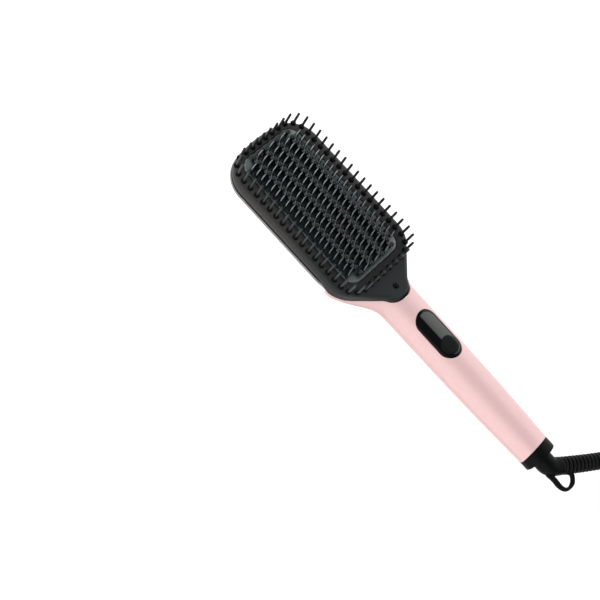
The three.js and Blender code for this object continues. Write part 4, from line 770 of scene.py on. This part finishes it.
def make_tie():
    """The strap: a flat band that runs round the coil's section in a rounded rectangle."""
    inner = COIL_RADIUS - COIL_PITCH * (COIL_LAYER_TURNS - 0.5) - 2 * CORD_RADIUS
    outer = COIL_RADIUS + CORD_RADIUS + 2 * GAP
    low = COIL_LIFT - GAP
    high = COIL_LIFT + 2 * CORD_RADIUS + COIL_PITCH + GAP
    half = (high - low) / 2
    bands = [rounded_rectangle(inner - g, outer + g, half + g, TIE_CORNER + g, 6, 10)
             for g in (0, TIE_THICKNESS)]
    edges = [(bands[0], -1), (bands[1], -1), (bands[1], 1), (bands[0], 1)]
    rows = [points_of(COIL_CENTRE[0] + side * TIE_WIDTH / 2, COIL_CENTRE[1] - band[:, 0],
                      (low + high) / 2 + band[:, 1]) for band, side in edges]
    return make("cord_strap", surface(rows, round_rows=True), RUBBER, "cord_swivel",
                ["cord_tie"], sharp=50)


def make_plug():
    """The plug: rounded sections that widen from the cord's neck to the grip and close flat at the pins.

    Each section is a cosine and a sine to a power below 1, which falls towards the grip.
    """
    share = np.linspace(0, 1, 40)
    widths = [PLUG_NECK_HALF_WIDTH, 6.05, 6.6, PLUG_HALF_WIDTH, PLUG_HALF_WIDTH, 11.2]
    half_width = np.interp(share, [0, 0.3, 0.45, 0.62, 0.95, 1], widths)
    smooth = np.convolve(np.pad(half_width, 3, mode="edge"), np.ones(7) / 7, mode="valid")[:, None]
    flatness = np.interp(share, [0, 0.25, 0.5, 0.96, 1], [0.72, 0.76, 0.99, 0.99, 0.9])[:, None]
    cosine, sine = once_round(56)
    power = 2 / (2.6 + 1.4 * smoothstep(share, 0.3, 0.7))[:, None]
    shape = surface(points_of(
        PLUG_PLACE[0] + powered(cosine, power) * smooth,
        PLUG_PLACE[1] - share[:, None] * PLUG_LENGTH,
        PLUG_HEIGHT + powered(sine, power) * (PLUG_THICKNESS / 2 * flatness),
    ), caps=True)
    return make("plug_body", shape, BLACK_SATIN, "cord_swivel", ["plug"], sharp=45)


def make_plug_pins():
    """Round pins with domed tips, and the collar of insulation near the plug."""
    r = PLUG_PIN_RADIUS
    turn = np.linspace(0, np.pi / 2, 6)
    tip = [(r * 0.9 * np.cos(t), PLUG_PIN_LENGTH - r + r * np.sin(t)) for t in turn]
    metal = turned([(0, 0.3), (r * 0.9, 0.3), (r * 0.9, 10), *tip], 24)
    collar = turned([(r * 0.88, 0.3), (r, 0.3), (r, 9.6), (r * 0.95, 10), (r * 0.88, 10)], 24)
    pins = []
    for side, node in ((-1, "plug_pin_1"), (1, "plug_pin_2")):
        x = PLUG_PLACE[0] + side * PLUG_PIN_SPACING / 2
        pins.append(make(node + "_metal", lying(metal, x), STEEL, "cord_swivel", [node]))
        pins.append(make(node + "_collar", lying(collar, x), BLACK_SATIN, "cord_swivel"))
    return pins


def lying(shape, x):
    """An upright shape laid down at x, so that its height runs along -Y from the plug's face."""
    points, faces = shape
    face = PLUG_PLACE[1] - PLUG_LENGTH
    return points_of(x + points[:, 0], face - points[:, 2], PLUG_HEIGHT + points[:, 1]), faces


# Swivel and end cap


def make_elbow():
    """The stem and the arm: a circle that runs along the handle's axis, round an even bend and out along
    the arm, a little slimmer towards the sleeve."""
    back = BEND_RADIUS * np.tan(ARM_ANGLE / 2)
    turn = np.linspace(0, ARM_ANGLE, 16)
    stem = np.linspace(HANDLE_END - 4, BEND_PLACE - back - 0.5, 8)
    reach = np.linspace(back + 0.5, ARM_LENGTH, 8)
    bend = [BEND_PLACE - back + BEND_RADIUS * np.sin(turn), BEND_RADIUS * (1 - np.cos(turn))]
    arm = BEND[:2] + reach[:, None] * ARM_DIRECTION[:2]
    flat = np.vstack([np.column_stack([stem, 0 * stem]), np.column_stack(bend), arm])
    path = at_height(flat, AXIS_HEIGHT)
    radii = STEM_RADIUS + GAP - ARM_SLIMMING * smoothstep(np.linspace(0, 1, len(path)), 0.3, 0.95)
    radii[-2:] -= ARM_END_ROUND
    make("swivel_stem", tube(path, radii, 64), SWIVEL_BLACK, "cord_swivel",
         ["swivel_elbow"], sharp=60)


def closed_curve(points):
    """A Catmull-Rom curve that runs round through all the points, in ten steps from each to the next."""
    t = np.arange(10)[None, :, None] / 10
    a, b, c, d = [np.roll(points, shift, axis=0)[:, None] for shift in (1, 0, -1, -2)]
    curve = 2 * b + (c - a) * t + (2 * a - 5 * b + 4 * c - d) * t**2 + (3 * b - a - 3 * c + d) * t**3
    return (curve / 2).reshape(-1, 2)


def make_hanging_loop():
    """The loop: between the curve of its hole and the curve of its outer edge, a rounded section.

    The two curves go through the same number of points, each facing the one that it belongs to.
    """
    inside, outside = closed_curve(LOOP_HOLE), closed_curve(LOOP_EDGE)
    swing, lift = [powered(v, LOOP_ROUNDNESS) for v in once_round(20)]
    share = (1 + swing)[:, None, None] / 2
    flat = inside * (1 - share) + outside * share + BEND[:2]
    z = AXIS_HEIGHT + LOOP_THICKNESS / 2 * lift[:, None]
    shape = surface(points_of(flat[..., 0], flat[..., 1], z), round_rows=True)
    make("hanging_loop", shape, SWIVEL_BLACK, "cord_swivel", sharp=80)


def make_end_cap():
    """The cap: rings that run from the bore out over the face, round the edge and along the side.

    Above the middle the last rings bow towards the head, by CAP_BOW times the sine.
    """
    across, up = once_round(72)
    width, height = half_width_at(HANDLE_END), half_height_at(HANDLE_END)
    bore = STEM_RADIUS + GAP
    level = [(CAP_FACE - 3, bore, bore), (CAP_FACE - 0.3, bore, bore), (CAP_FACE, bore + 0.3, bore + 0.3)]
    for t in np.linspace(np.pi / 2, 0, 6):
        inset = CAP_EDGE * (1 - np.cos(t))
        level.append((CAP_FACE - CAP_EDGE * (1 - np.sin(t)), width - inset, height - inset))
    start = HANDLE_END + GAP
    bowed = [(start + 0.2, width, height), (start, width - 0.2, height - 0.2),
             (start, width - 2.5, height - 2.5)]
    bow = CAP_BOW * np.maximum(up, 0)
    rows = [points_of(x - bow * share, w * across, AXIS_HEIGHT + h * up)
            for rings, share in ((level, 0), (bowed, 1)) for x, w, h in rings]
    make("end_cap_moulding", surface(rows), SWIVEL_BLACK, "comb", ["end_cap"],
         inside=(HANDLE_END + 3, 0, AXIS_HEIGHT))


# Shells


def back_housing():
    """The back: from each point of the rim a line runs to the spine below.

    In the head it falls like a bowl, with height (1 - distance/reach) to the power of the bowl's
    curve; in the handle it is the lower half of the elliptical section; between, the two mix.
    """
    rim_angle = np.arcsin((SHELL_RIM - AXIS_HEIGHT) / half_height_at(NECK_START))
    head = head_half(BOWL_EDGE_INSET)
    head = head[head[:, 0] < SHOULDER_START - 1]
    head = head[: np.argmax(head[:, 0]) + 1]
    neck_x = np.concatenate([
        np.linspace(SHOULDER_START, TOP_SHELL_START, 4),
        np.linspace(TOP_SHELL_START + 0.02, NECK_END, 40),
        np.linspace(NECK_END + 2, HANDLE_END, 50),
    ])
    in_head = neck_x <= TOP_SHELL_START
    tall = half_height_at(neck_x)
    parting = np.where(in_head, rim_angle, -np.arcsin(GAP / 2 / tall))
    neck_y = np.where(in_head, head[-1, 1], half_width_at(neck_x) * np.cos(parting))
    level = np.ones(len(head))
    x = np.concatenate([head[:, 0], neck_x])[:, None]
    y = np.concatenate([head[:, 1], neck_y])[:, None]
    z = np.concatenate([level * SHELL_RIM, AXIS_HEIGHT + tall * np.sin(parting)])[:, None]
    angle = np.concatenate([level * rim_angle, parting])[:, None]

    share = np.linspace(0, 1, 49)
    to_spine = np.maximum(x, SPINE_START) - x
    distance = np.hypot(to_spine, y) * share
    bowl_z = z * (1 - np.clip(distance / BOWL_REACH, 0, 1)) ** BOWL_CURVE
    bowl_y = y * (1 - share)
    angle = angle + (-np.pi / 2 - angle) * share
    section_y = half_width_at(x) * np.cos(angle)
    section_z = AXIS_HEIGHT + half_height_at(x) * np.sin(angle)
    mix = smoothstep(x, *BOWL_BLEND)
    low_y = bowl_y * (1 - mix) + section_y * mix
    low_y[:, -1] = 0
    return both_sides(points_of(x + to_spine * share, low_y, bowl_z * (1 - mix) + section_z * mix))


def make_back_shell():
    """The back's wall, with a round well for each case screw."""
    piece = make("back_housing", back_housing(), ROSE_SHELL, "comb", ["back_shell"],
                 inside=(80, 0, 40))
    walled(piece, BACK_WALL)
    r, top = SCREW_WELL_RADIUS, SCREW_WELL_TOP
    drilled(piece, [turned([(0, -2), (r, -2), (r, top), (0, top)], 32, (x, 0)) for x in SCREW_PLACES])


def top_housing():
    """The handle's top: at each station an arc of the elliptical section, from the parting line up to
    the middle, to the edge of the head's pocket or to the edge of the panel's recess."""
    pocket = head_half(-GAP)
    pocket = pocket[np.argmax(pocket[:, 1]):]
    pocket_end = LOBE_END + GAP
    start, end, radius = PANEL_START - GAP, PANEL_END + GAP, PANEL_HALF_WIDTH + GAP
    sink = 1 - np.cos(np.linspace(0, np.pi / 2, 24))
    low_end, high_end = start + radius * sink, end - radius * sink[::-1]
    corner = pocket_end - (LOBE_CORNER_RADIUS + GAP) * sink
    x = np.unique(np.round(np.concatenate([
        np.linspace(TOP_SHELL_START + GAP, corner.min(), 50), corner, [pocket_end + 0.02],
        np.linspace(pocket_end + 1, start, 12), low_end,
        np.linspace(low_end[-1], high_end[0], 14), high_end,
        np.linspace(end + 1, HANDLE_END, 60),
    ]), 4))
    order = np.argsort(pocket[:, 0])
    pocket_y = np.maximum(np.interp(x, *pocket[order].T, right=0), LOBE_END_HALF_WIDTH)
    near = np.clip(np.minimum(x - start, end - x), 0, radius)
    recess_y = np.sqrt(radius**2 - (radius - near) ** 2)
    in_pocket = x <= pocket_end + 0.01
    edge_y = np.where(in_pocket, pocket_y, recess_y)
    width, height = half_width_at(x), half_height_at(x)
    edge_angle = np.arccos(np.clip(edge_y / width, 0, 1))
    under_cover = np.arcsin((SHELL_RIM - AXIS_HEIGHT) / height)
    edge_angle = np.where(in_pocket, np.maximum(edge_angle, under_cover), edge_angle)[:, None]
    parting = np.arcsin(GAP / 2 / height)[:, None]
    angle = edge_angle + (parting - edge_angle) * np.linspace(0, 1, 33)
    y = width[:, None] * np.cos(angle)
    y[edge_y == 0, 0] = 0
    bow = CAP_BOW * np.sin(angle) * smoothstep(x, HANDLE_END - BOW_REACH, HANDLE_END)[:, None]
    return both_sides(points_of(x[:, None] - bow, y, AXIS_HEIGHT + height[:, None] * np.sin(angle)))


def make_top_shell():
    piece = make("handle_top", top_housing(), ROSE_SHELL, "comb", ["handle_top_shell"],
                 inside=(200, 0, AXIS_HEIGHT - 20))
    walled(piece, TOP_WALL, 0.2)


def make_trim():
    """The band between the black cover and the back: a slightly proud, rounded strip carried round the
    head, with a narrow groove above it and a tongue that stands up behind the cover's skirt.

    Past the shoulder it draws in behind the skirt, by a smooth step along x.
    """
    low, seam, top = TRIM_BOTTOM, TRIM_SEAM, TRIM_TOP
    profile = [
        (1.0, low), (0.1, low), (-0.25, low + 0.15), (-0.4, low + 0.5), (-0.4, seam - 0.35),
        (-0.25, seam - 0.1), (0.1, seam), (0.9, seam + 0.1), (1.0, top), (1.75, top), (1.8, top + 2),
        (2.4, top + 2), (2.4, low),
    ]
    near, drawn_in = head_outline(0.0), head_outline(TRIM_DRAWN_IN)
    hidden = smoothstep(near[:, :1], *SKIRT_DROP)
    edge = near * (1 - hidden) + drawn_in * hidden
    inward = head_outline(1.0) - near
    rows = [at_height(edge + inset * inward, z) for inset, z in profile]
    make("trim_band", surface(rows, round_rows=True), SILVER_TRIM, "comb", ["trim_ring"])


# Head


def cover_frame():
    """The black front: skirt, rounded edge and level face round the window of the heating plate.

    The skirt's lower edge drops by a smooth step along x, to cover the band past the shoulder.
    """
    flat = head_outline(0.0)
    low = COVER_BOTTOM + (SKIRT_LOW - COVER_BOTTOM) * smoothstep(flat[:, 0], *SKIRT_DROP)
    skirt = [(1.5, 2), (1.5, 0), (0.7, 0), (0, 0.6)]
    turn = np.linspace(0, np.pi / 2, 11)
    edge = [(COVER_EDGE * (1 - np.cos(t)), FACE_HEIGHT - COVER_EDGE * (1 - np.sin(t))) for t in turn]
    edge.append((COVER_EDGE + 0.4, FACE_HEIGHT))
    rows = [np.column_stack([head_outline(inset), low + lift]) for inset, lift in skirt]
    rows += [at_height(head_outline(inset), z) for inset, z in edge]

    outline = rows[-1][:, :2]
    centre = np.array([PLATE_CENTRE, 0])
    away = outline - centre
    angles = np.arctan2(away[:, 1], away[:, 0])

    def window(grow, z):
        return at_height(by_angle(plate_outline(-GAP - grow), centre, angles), z)

    lip = window(0.5, 0)[:, :2]
    rows += [at_height(outline * (1 - s) + lip * s, FACE_HEIGHT) for s in (0.25, 0.5, 0.75, 1)]
    rows += [window(0.15, FACE_HEIGHT - 0.15), window(0, FACE_HEIGHT - 0.5)]
    rows += [window(0, COVER_UNDER), window(3, COVER_UNDER)]
    return surface(rows)


def plate_outline(inset):
    """The heating plate's outline, drawn in by inset."""
    return rounded_rectangle(PLATE_START + inset, PLATE_END - inset, PLATE_HALF_WIDTH - inset,
                             PLATE_CORNER - inset, 24, 40)


def pin_places():
    """Even places along the ring that the guard pins stand on."""
    quarter = np.pi / 2
    x0, x1, r = PIN_RING_START, PIN_RING_END, PIN_RING_CORNER
    half = np.vstack([
        arc(x0 + r, PIN_RING_HALF_WIDTH - r, r, 2 * quarter, quarter, 12),
        arc(x1 - r, PIN_RING_HALF_WIDTH - r, r, quarter, 0, 12),
    ])
    ring = np.vstack([half, half[::-1] * [1, -1], half[:1]])
    length = np.concatenate([[0], np.cumsum(np.hypot(*np.diff(ring, axis=0).T))])
    count = round(length[-1] / PIN_PITCH)
    at = (np.arange(count) + 0.5) / count * length[-1]
    return at_height(np.column_stack([np.interp(at, length, v) for v in ring.T]), FACE_HEIGHT)


def make_cover():
    """The cover with the hole of the ion outlet, the guard pins and the low bead at each pin's foot, whose
    darker black is painted shade round the foot.
    """
    cover = make("front_cover", cover_frame(), BLACK_SATIN, "comb", ["head_cover"],
                 inside=(PLATE_CENTRE, 0, 10))
    walled(cover, COVER_WALL)
    r, low, high = ION_HOLE_RADIUS, FACE_HEIGHT - 5, FACE_HEIGHT + 2
    drilled(cover, [turned([(0, low), (r, low), (r, high), (0, high)], 40, (ION_PLACE, 0))])
    r = PIN_RADIUS
    tip = [(0.95 * r * np.cos(t), PIN_HEIGHT - r * (1 - np.sin(t))) for t in np.radians([0, 35, 65, 90])]
    pin = [(1.25 * r, -0.2), (1.15 * r, 0.6), (r, 1.6), *tip]
    foot = [(0.9, 1.1), (1.1, 1.35), (1.5, 1.25), (1.85, 0.85), (2.05, 0.3), (2.1, -0.3)]
    places = pin_places()
    make("guard_pins", repeated(turned(pin, 12), places), BLACK_PINS, "comb", sharp=60)
    # The beads take a darker black than the pins: painted shade at each pin's foot
    make("pin_feet", repeated(turned(foot, 16), places), SWIVEL_BLACK, "comb", sharp=60)


def make_plate():
    """The heating plate: flange, side, rounded rim and level top."""
    flange, top = COVER_UNDER - GAP, PLATE_TOP
    profile = [(-PLATE_FLANGE, flange - PLATE_FLANGE), (-PLATE_FLANGE, flange), (0, flange), (0, top - 1),
               (0.15, top - 0.7), (0.75, top - 0.1), (1.1, top)]
    rows = [at_height(plate_outline(inset), z) for inset, z in profile]
    make("plate_face", surface(rows, caps=True), PLATE_WITH_SHADE, "comb", ["heating_plate"],
         sharp=30)


def tooth_rows():
    """Places of the blades and of the ball pegs: rows along the plate, blades and pegs in turn across."""
    x = PLATE_CENTRE + (np.arange(ROW_COUNT) - (ROW_COUNT - 1) / 2) * ROW_PITCH
    outer = (BLADE_COLUMNS - 1) / 2

    def grid(columns):
        return np.array(np.meshgrid(x, columns, indexing="ij")).reshape(2, -1).T

    blades, pegs = grid(np.arange(-outer, outer + 1)), grid(np.arange(-outer + 0.5, outer))
    at_end = np.isin(blades[:, 0], x[[0, -1]])
    blades = blades[~(at_end & (abs(blades[:, 1]) == outer))]
    scale = [1, BLADE_COLUMN_PITCH]
    return blades * scale, pegs * scale


def blade_shape():
    """A blade: crescent sections that narrow from the base to a rounded crest.

    Each section is a lens along Y, bent back by a share of y squared and turned by the crest's angle.
    """
    cosine, sine = once_round(16)
    share = np.array([0, 0.12, 0.55, 0.88, 0.97, 1])[:, None]
    width = np.array([BLADE_BASE + 0.3, BLADE_BASE, 1.8, 1.0, 0.8, 0.45])[:, None]
    length = np.array([BLADE_LENGTH + 0.2, BLADE_LENGTH, 6.9, BLADE_TOP_LENGTH + 0.5, 6.2, 5.7])[:, None]
    across = width / 2 * powered(cosine, 0.9)
    along = length / 2 * sine
    across = across + CREST_BOW * (along / (BLADE_LENGTH / 2)) ** 2 - CREST_BOW / 2
    x = across - along * np.sin(CREST_TURN)
    return surface(points_of(x, along * np.cos(CREST_TURN), share * BLADE_HEIGHT), caps=True)


def web_shape():
    """The web between two blades: it runs from the end of one crest down between the balls to the
    beginning of the next, an upright strip whose top sinks in the middle."""
    share = np.linspace(0, 1, 11)
    end_x = BLADE_LENGTH / 2 * np.sin(CREST_TURN) + CREST_BOW / 2
    end_y = (BLADE_COLUMN_PITCH - BLADE_LENGTH * np.cos(CREST_TURN)) / 2 + 0.3
    x = end_x + (ROW_PITCH - end_x + CREST_BOW - end_x) * smoothstep(share, 0, 1)
    y = end_y + (-end_y - end_y) * share
    top = WEB_TOP - WEB_SINK * np.sin(np.pi * share)
    section = [(-1.4, 0), (-1, 0.93), (-0.75, 1), (0.75, 1), (1, 0.93), (1.4, 0)]
    rows = [points_of(x + WEB_HALF_WIDTH * wide, y, top * lift) for wide, lift in section]
    return surface(np.stack(rows, axis=1), caps=True)


def pad_shape():
    """The round pad in the middle of a web: a short post with a domed top."""
    r, top = PAD_RADIUS, PAD_HEIGHT
    return turned([(r * 1.1, 0), (r, 0.3), (r, top - 0.4), (r * 0.85, top - 0.12),
                   (r * 0.4, top + 0.02), (0, top + 0.05)], 12)


def peg_shape():
    """A ball peg: a slim stem and a ball on it."""
    centre = PEG_HEIGHT - BALL_RADIUS
    turn = np.radians([-50, -20, 10, 35, 58, 78, 90])
    ball = [(BALL_RADIUS * np.cos(t), centre + BALL_RADIUS * np.sin(t)) for t in turn]
    stem = [(1.3 * PEG_RADIUS, 0), (PEG_RADIUS, 0.5), (PEG_RADIUS * 0.95, centre - 1.4)]
    return turned([*stem, *ball], 14)


def web_places(blades):
    """Each blade's gap to the blade one row on and one column towards -Y, where both are there."""
    far = blades + [ROW_PITCH, -BLADE_COLUMN_PITCH]
    apart = np.linalg.norm(far[:, None] - blades[None], axis=2).min(axis=1)
    return blades[apart < 0.1] - [0, BLADE_COLUMN_PITCH / 2]


def make_teeth():
    """The blades, the webs with their pads and the ball pegs, all standing on the plate."""
    blades, pegs = tooth_rows()
    between = web_places(blades)

    def standing(shape, places):
        return repeated(shape, at_height(places, PLATE_TOP))

    webs = joined(standing(web_shape(), between), standing(pad_shape(), between + [ROW_PITCH / 2, 0]))
    make("comb_blades", standing(blade_shape(), blades), BLADE_COAT, "comb", sharp=60)
    make("blade_webs", webs, WEB_COAT, "comb", sharp=60)
    make("ball_pegs", standing(peg_shape(), pegs), BLACK_NYLON, "comb", sharp=60)


def make_ion_outlet():
    """The outlet: a bush with a rounded lip, set a little below the face."""
    bush = ION_HOLE_RADIUS - 0.12
    bore = bush - 0.7
    low, top = COVER_UNDER - 1, FACE_HEIGHT - 0.5
    profile = [(bush, low), (bush, top - 0.2), (bush - 0.2, top), (bore + 0.2, top), (bore, top - 0.3),
               (bore, low)]
    make("ion_bush", turned(profile, 32, (ION_PLACE, 0)), BLACK_SATIN, "comb",
         ["ion_outlet"], inside=(ION_PLACE + 0.5 * (bush + bore), 0, top - 1))


# Panel and button


def make_panel():
    """The panel: rings from the button's hole out to the pill's edge, laid on the handle's curve."""
    centre = np.array([BUTTON_PLACE, 0])
    angles = np.linspace(-np.pi, np.pi, 240, endpoint=False)
    hole = BUTTON_RADIUS + BUTTON_GAP

    def circle(radius):
        return centre + radius * np.column_stack([np.cos(angles), np.sin(angles)])

    def edge(inset):
        r = PANEL_HALF_WIDTH - inset
        pill = rounded_rectangle(PANEL_START + inset, PANEL_END - inset, r, r * 0.999, 20, 30)
        return by_angle(pill, centre, angles)

    inner, outer = circle(hole + 0.15), edge(1.0)
    rings = [(circle(hole), -1.2), (circle(hole), -0.12), (circle(hole + 0.06), -0.03)]
    rings += [(inner * (1 - s) + outer * s, 0.0) for s in np.linspace(0, 1, 13)]
    rings += [(edge(0.2), -0.02), (edge(0.06), -0.06), (edge(0), -0.14), (edge(0), -1.4)]
    rows = [np.column_stack([flat, on_handle(*flat.T, lift + PANEL_PROUD)]) for flat, lift in rings]
    make("panel_lens", surface(rows), PANEL_GLOSS, "comb", ["control_panel"],
         inside=(BUTTON_PLACE - 10, 0, 5))


def make_button():
    """The button: a round cap, level in the middle, its rim following the handle's curve."""
    radius = np.array([0, 1.5, 3, 4.4, 5.2, 5.8, 6.2, 6.4, BUTTON_RADIUS, BUTTON_RADIUS])[:, None]
    lift = np.array([0, 0, 0, 0, 0, 0, -0.03, -0.1, -0.25, -3])[:, None]
    cosine, sine = once_round(64)
    x, y = BUTTON_PLACE + radius * cosine, radius * sine
    follow = smoothstep(radius, 3.6, 6.4)
    level = on_handle(BUTTON_PLACE, 0.0) - BUTTON_SUNK
    z = level + (on_handle(x, y) - level) * follow + lift
    make("button_cap", surface(points_of(x, y, z)), BLACK_BUTTON, "button",
         ["power_button"], inside=(BUTTON_PLACE, 0, 15))


# Camera, floor and light

CAMERA_PLACE = np.array([124.1, -340.9, 593.2])
CAMERA_RIGHT = Vector((0.6748, 0.6715, 0.3063))
CAMERA_UP = Vector((-0.7372, 0.5934, 0.3232))
CAMERA_BACK = Vector((0.0353, -0.4439, 0.8954))
FOCAL_PIXELS = 983.2
PICTURE_PIXELS = 600
SENSOR = 36
SKY_LIGHT = 0.12
NEAR_SIDE_LIGHT = 1.85
FAR_SIDE_LIGHT = 1.65
FRONT_LIGHT = 1.5
FLOOR_GLOW = 0.62
FLOOR_GREY = 0.8
FLOOR_REACH = 4.0
FLOOR_DROP = 0.0003

# Where the lights begin and end, as parts of the direction of view
BAND_EDGE = (0.76, 0.9)
NEAR_SIDE_EDGE = (-0.7, -0.35)
FAR_SIDE_EDGE = (0.1, 0.45)
FRONT_EDGE = (-0.9, -0.5)


def make_camera():
    data = bpy.data.cameras.new("camera")
    data.sensor_width = SENSOR
    data.lens = FOCAL_PIXELS * SENSOR / PICTURE_PIXELS
    data.clip_start = 0.01
    data.clip_end = 20
    camera = add_object("camera", data)
    turn = Matrix((CAMERA_RIGHT, CAMERA_UP, CAMERA_BACK)).transposed().to_4x4()
    camera.matrix_world = Matrix.Translation(metres(CAMERA_PLACE)) @ turn
    bpy.context.scene.camera = camera


def make_floor():
    """A wide plain floor that shows white to the camera and still takes the comb's shadow."""
    mesh = bpy.data.meshes.new("floor")
    signs = [(-1, -1), (1, -1), (1, 1), (-1, 1)]
    mesh.from_pydata([(x * FLOOR_REACH, y * FLOOR_REACH, 0) for x, y in signs], [], [(0, 1, 2, 3)])
    floor = add_object("floor", mesh)
    floor.location.z = -FLOOR_DROP
    material = blank_material("white floor")
    add, work_out = partial(shader_node, material), partial(worked_out, material)
    rays = add("LightPath").outputs
    seen = work_out("MAXIMUM", rays["Is Camera Ray"], rays["Is Glossy Ray"])
    seen = work_out("MAXIMUM", seen, rays["Is Transmission Ray"])
    glow = add("Emission", {"Strength": work_out("MULTIPLY", seen, FLOOR_GLOW)}).outputs[0]
    matt = add("BsdfDiffuse", {"Color": (FLOOR_GREY, FLOOR_GREY, FLOOR_GREY, 1)}).outputs[0]
    add("OutputMaterial", {"Surface": add("AddShader", {0: matt, 1: glow}).outputs[0]})
    mesh.materials.append(material)


def make_world():
    """Soft light from both long sides and from beyond the tip, with a darker sky overhead.

    With d the direction of view: sky + band(d.z) * max(near side(d.y), far side(d.y), front(d.x)).
    """
    world = bpy.data.worlds.new("studio")
    bpy.context.scene.world = world
    world.use_nodes = True
    work_out = partial(worked_out, world)
    view = coordinates(world, "Generated")
    band = ramp(world, view["Z"], *BAND_EDGE, 1.0, 0.0)
    near_side = ramp(world, view["Y"], *NEAR_SIDE_EDGE, NEAR_SIDE_LIGHT, 0.0)
    far_side = ramp(world, view["Y"], *FAR_SIDE_EDGE, 0.0, FAR_SIDE_LIGHT)
    front = ramp(world, view["X"], *FRONT_EDGE, FRONT_LIGHT, 0.0)
    around = work_out("MAXIMUM", work_out("MAXIMUM", near_side, far_side), front)
    background = world.node_tree.nodes["Background"]
    background.inputs["Color"].default_value = (1, 1, 1, 1)
    strength = work_out("ADD", work_out("MULTIPLY", band, around), SKY_LIGHT)
    world.node_tree.links.new(strength, background.inputs["Strength"])


# Everything

make_camera()
make_floor()
make_world()
finish_cad_nodes()
cord = make_cord()
sleeve = make_sleeve()
strap = make_tie()
plug = make_plug()
plug_pins = make_plug_pins()
metres(sleeve_path([0.0])[0])
make_elbow()
make_hanging_loop()
make_end_cap()
make_back_shell()
make_top_shell()
make_trim()
make_cover()
make_plate()
make_teeth()
make_ion_outlet()
make_panel()
make_button()

bpy.context.scene.view_settings.view_transform = "Standard"
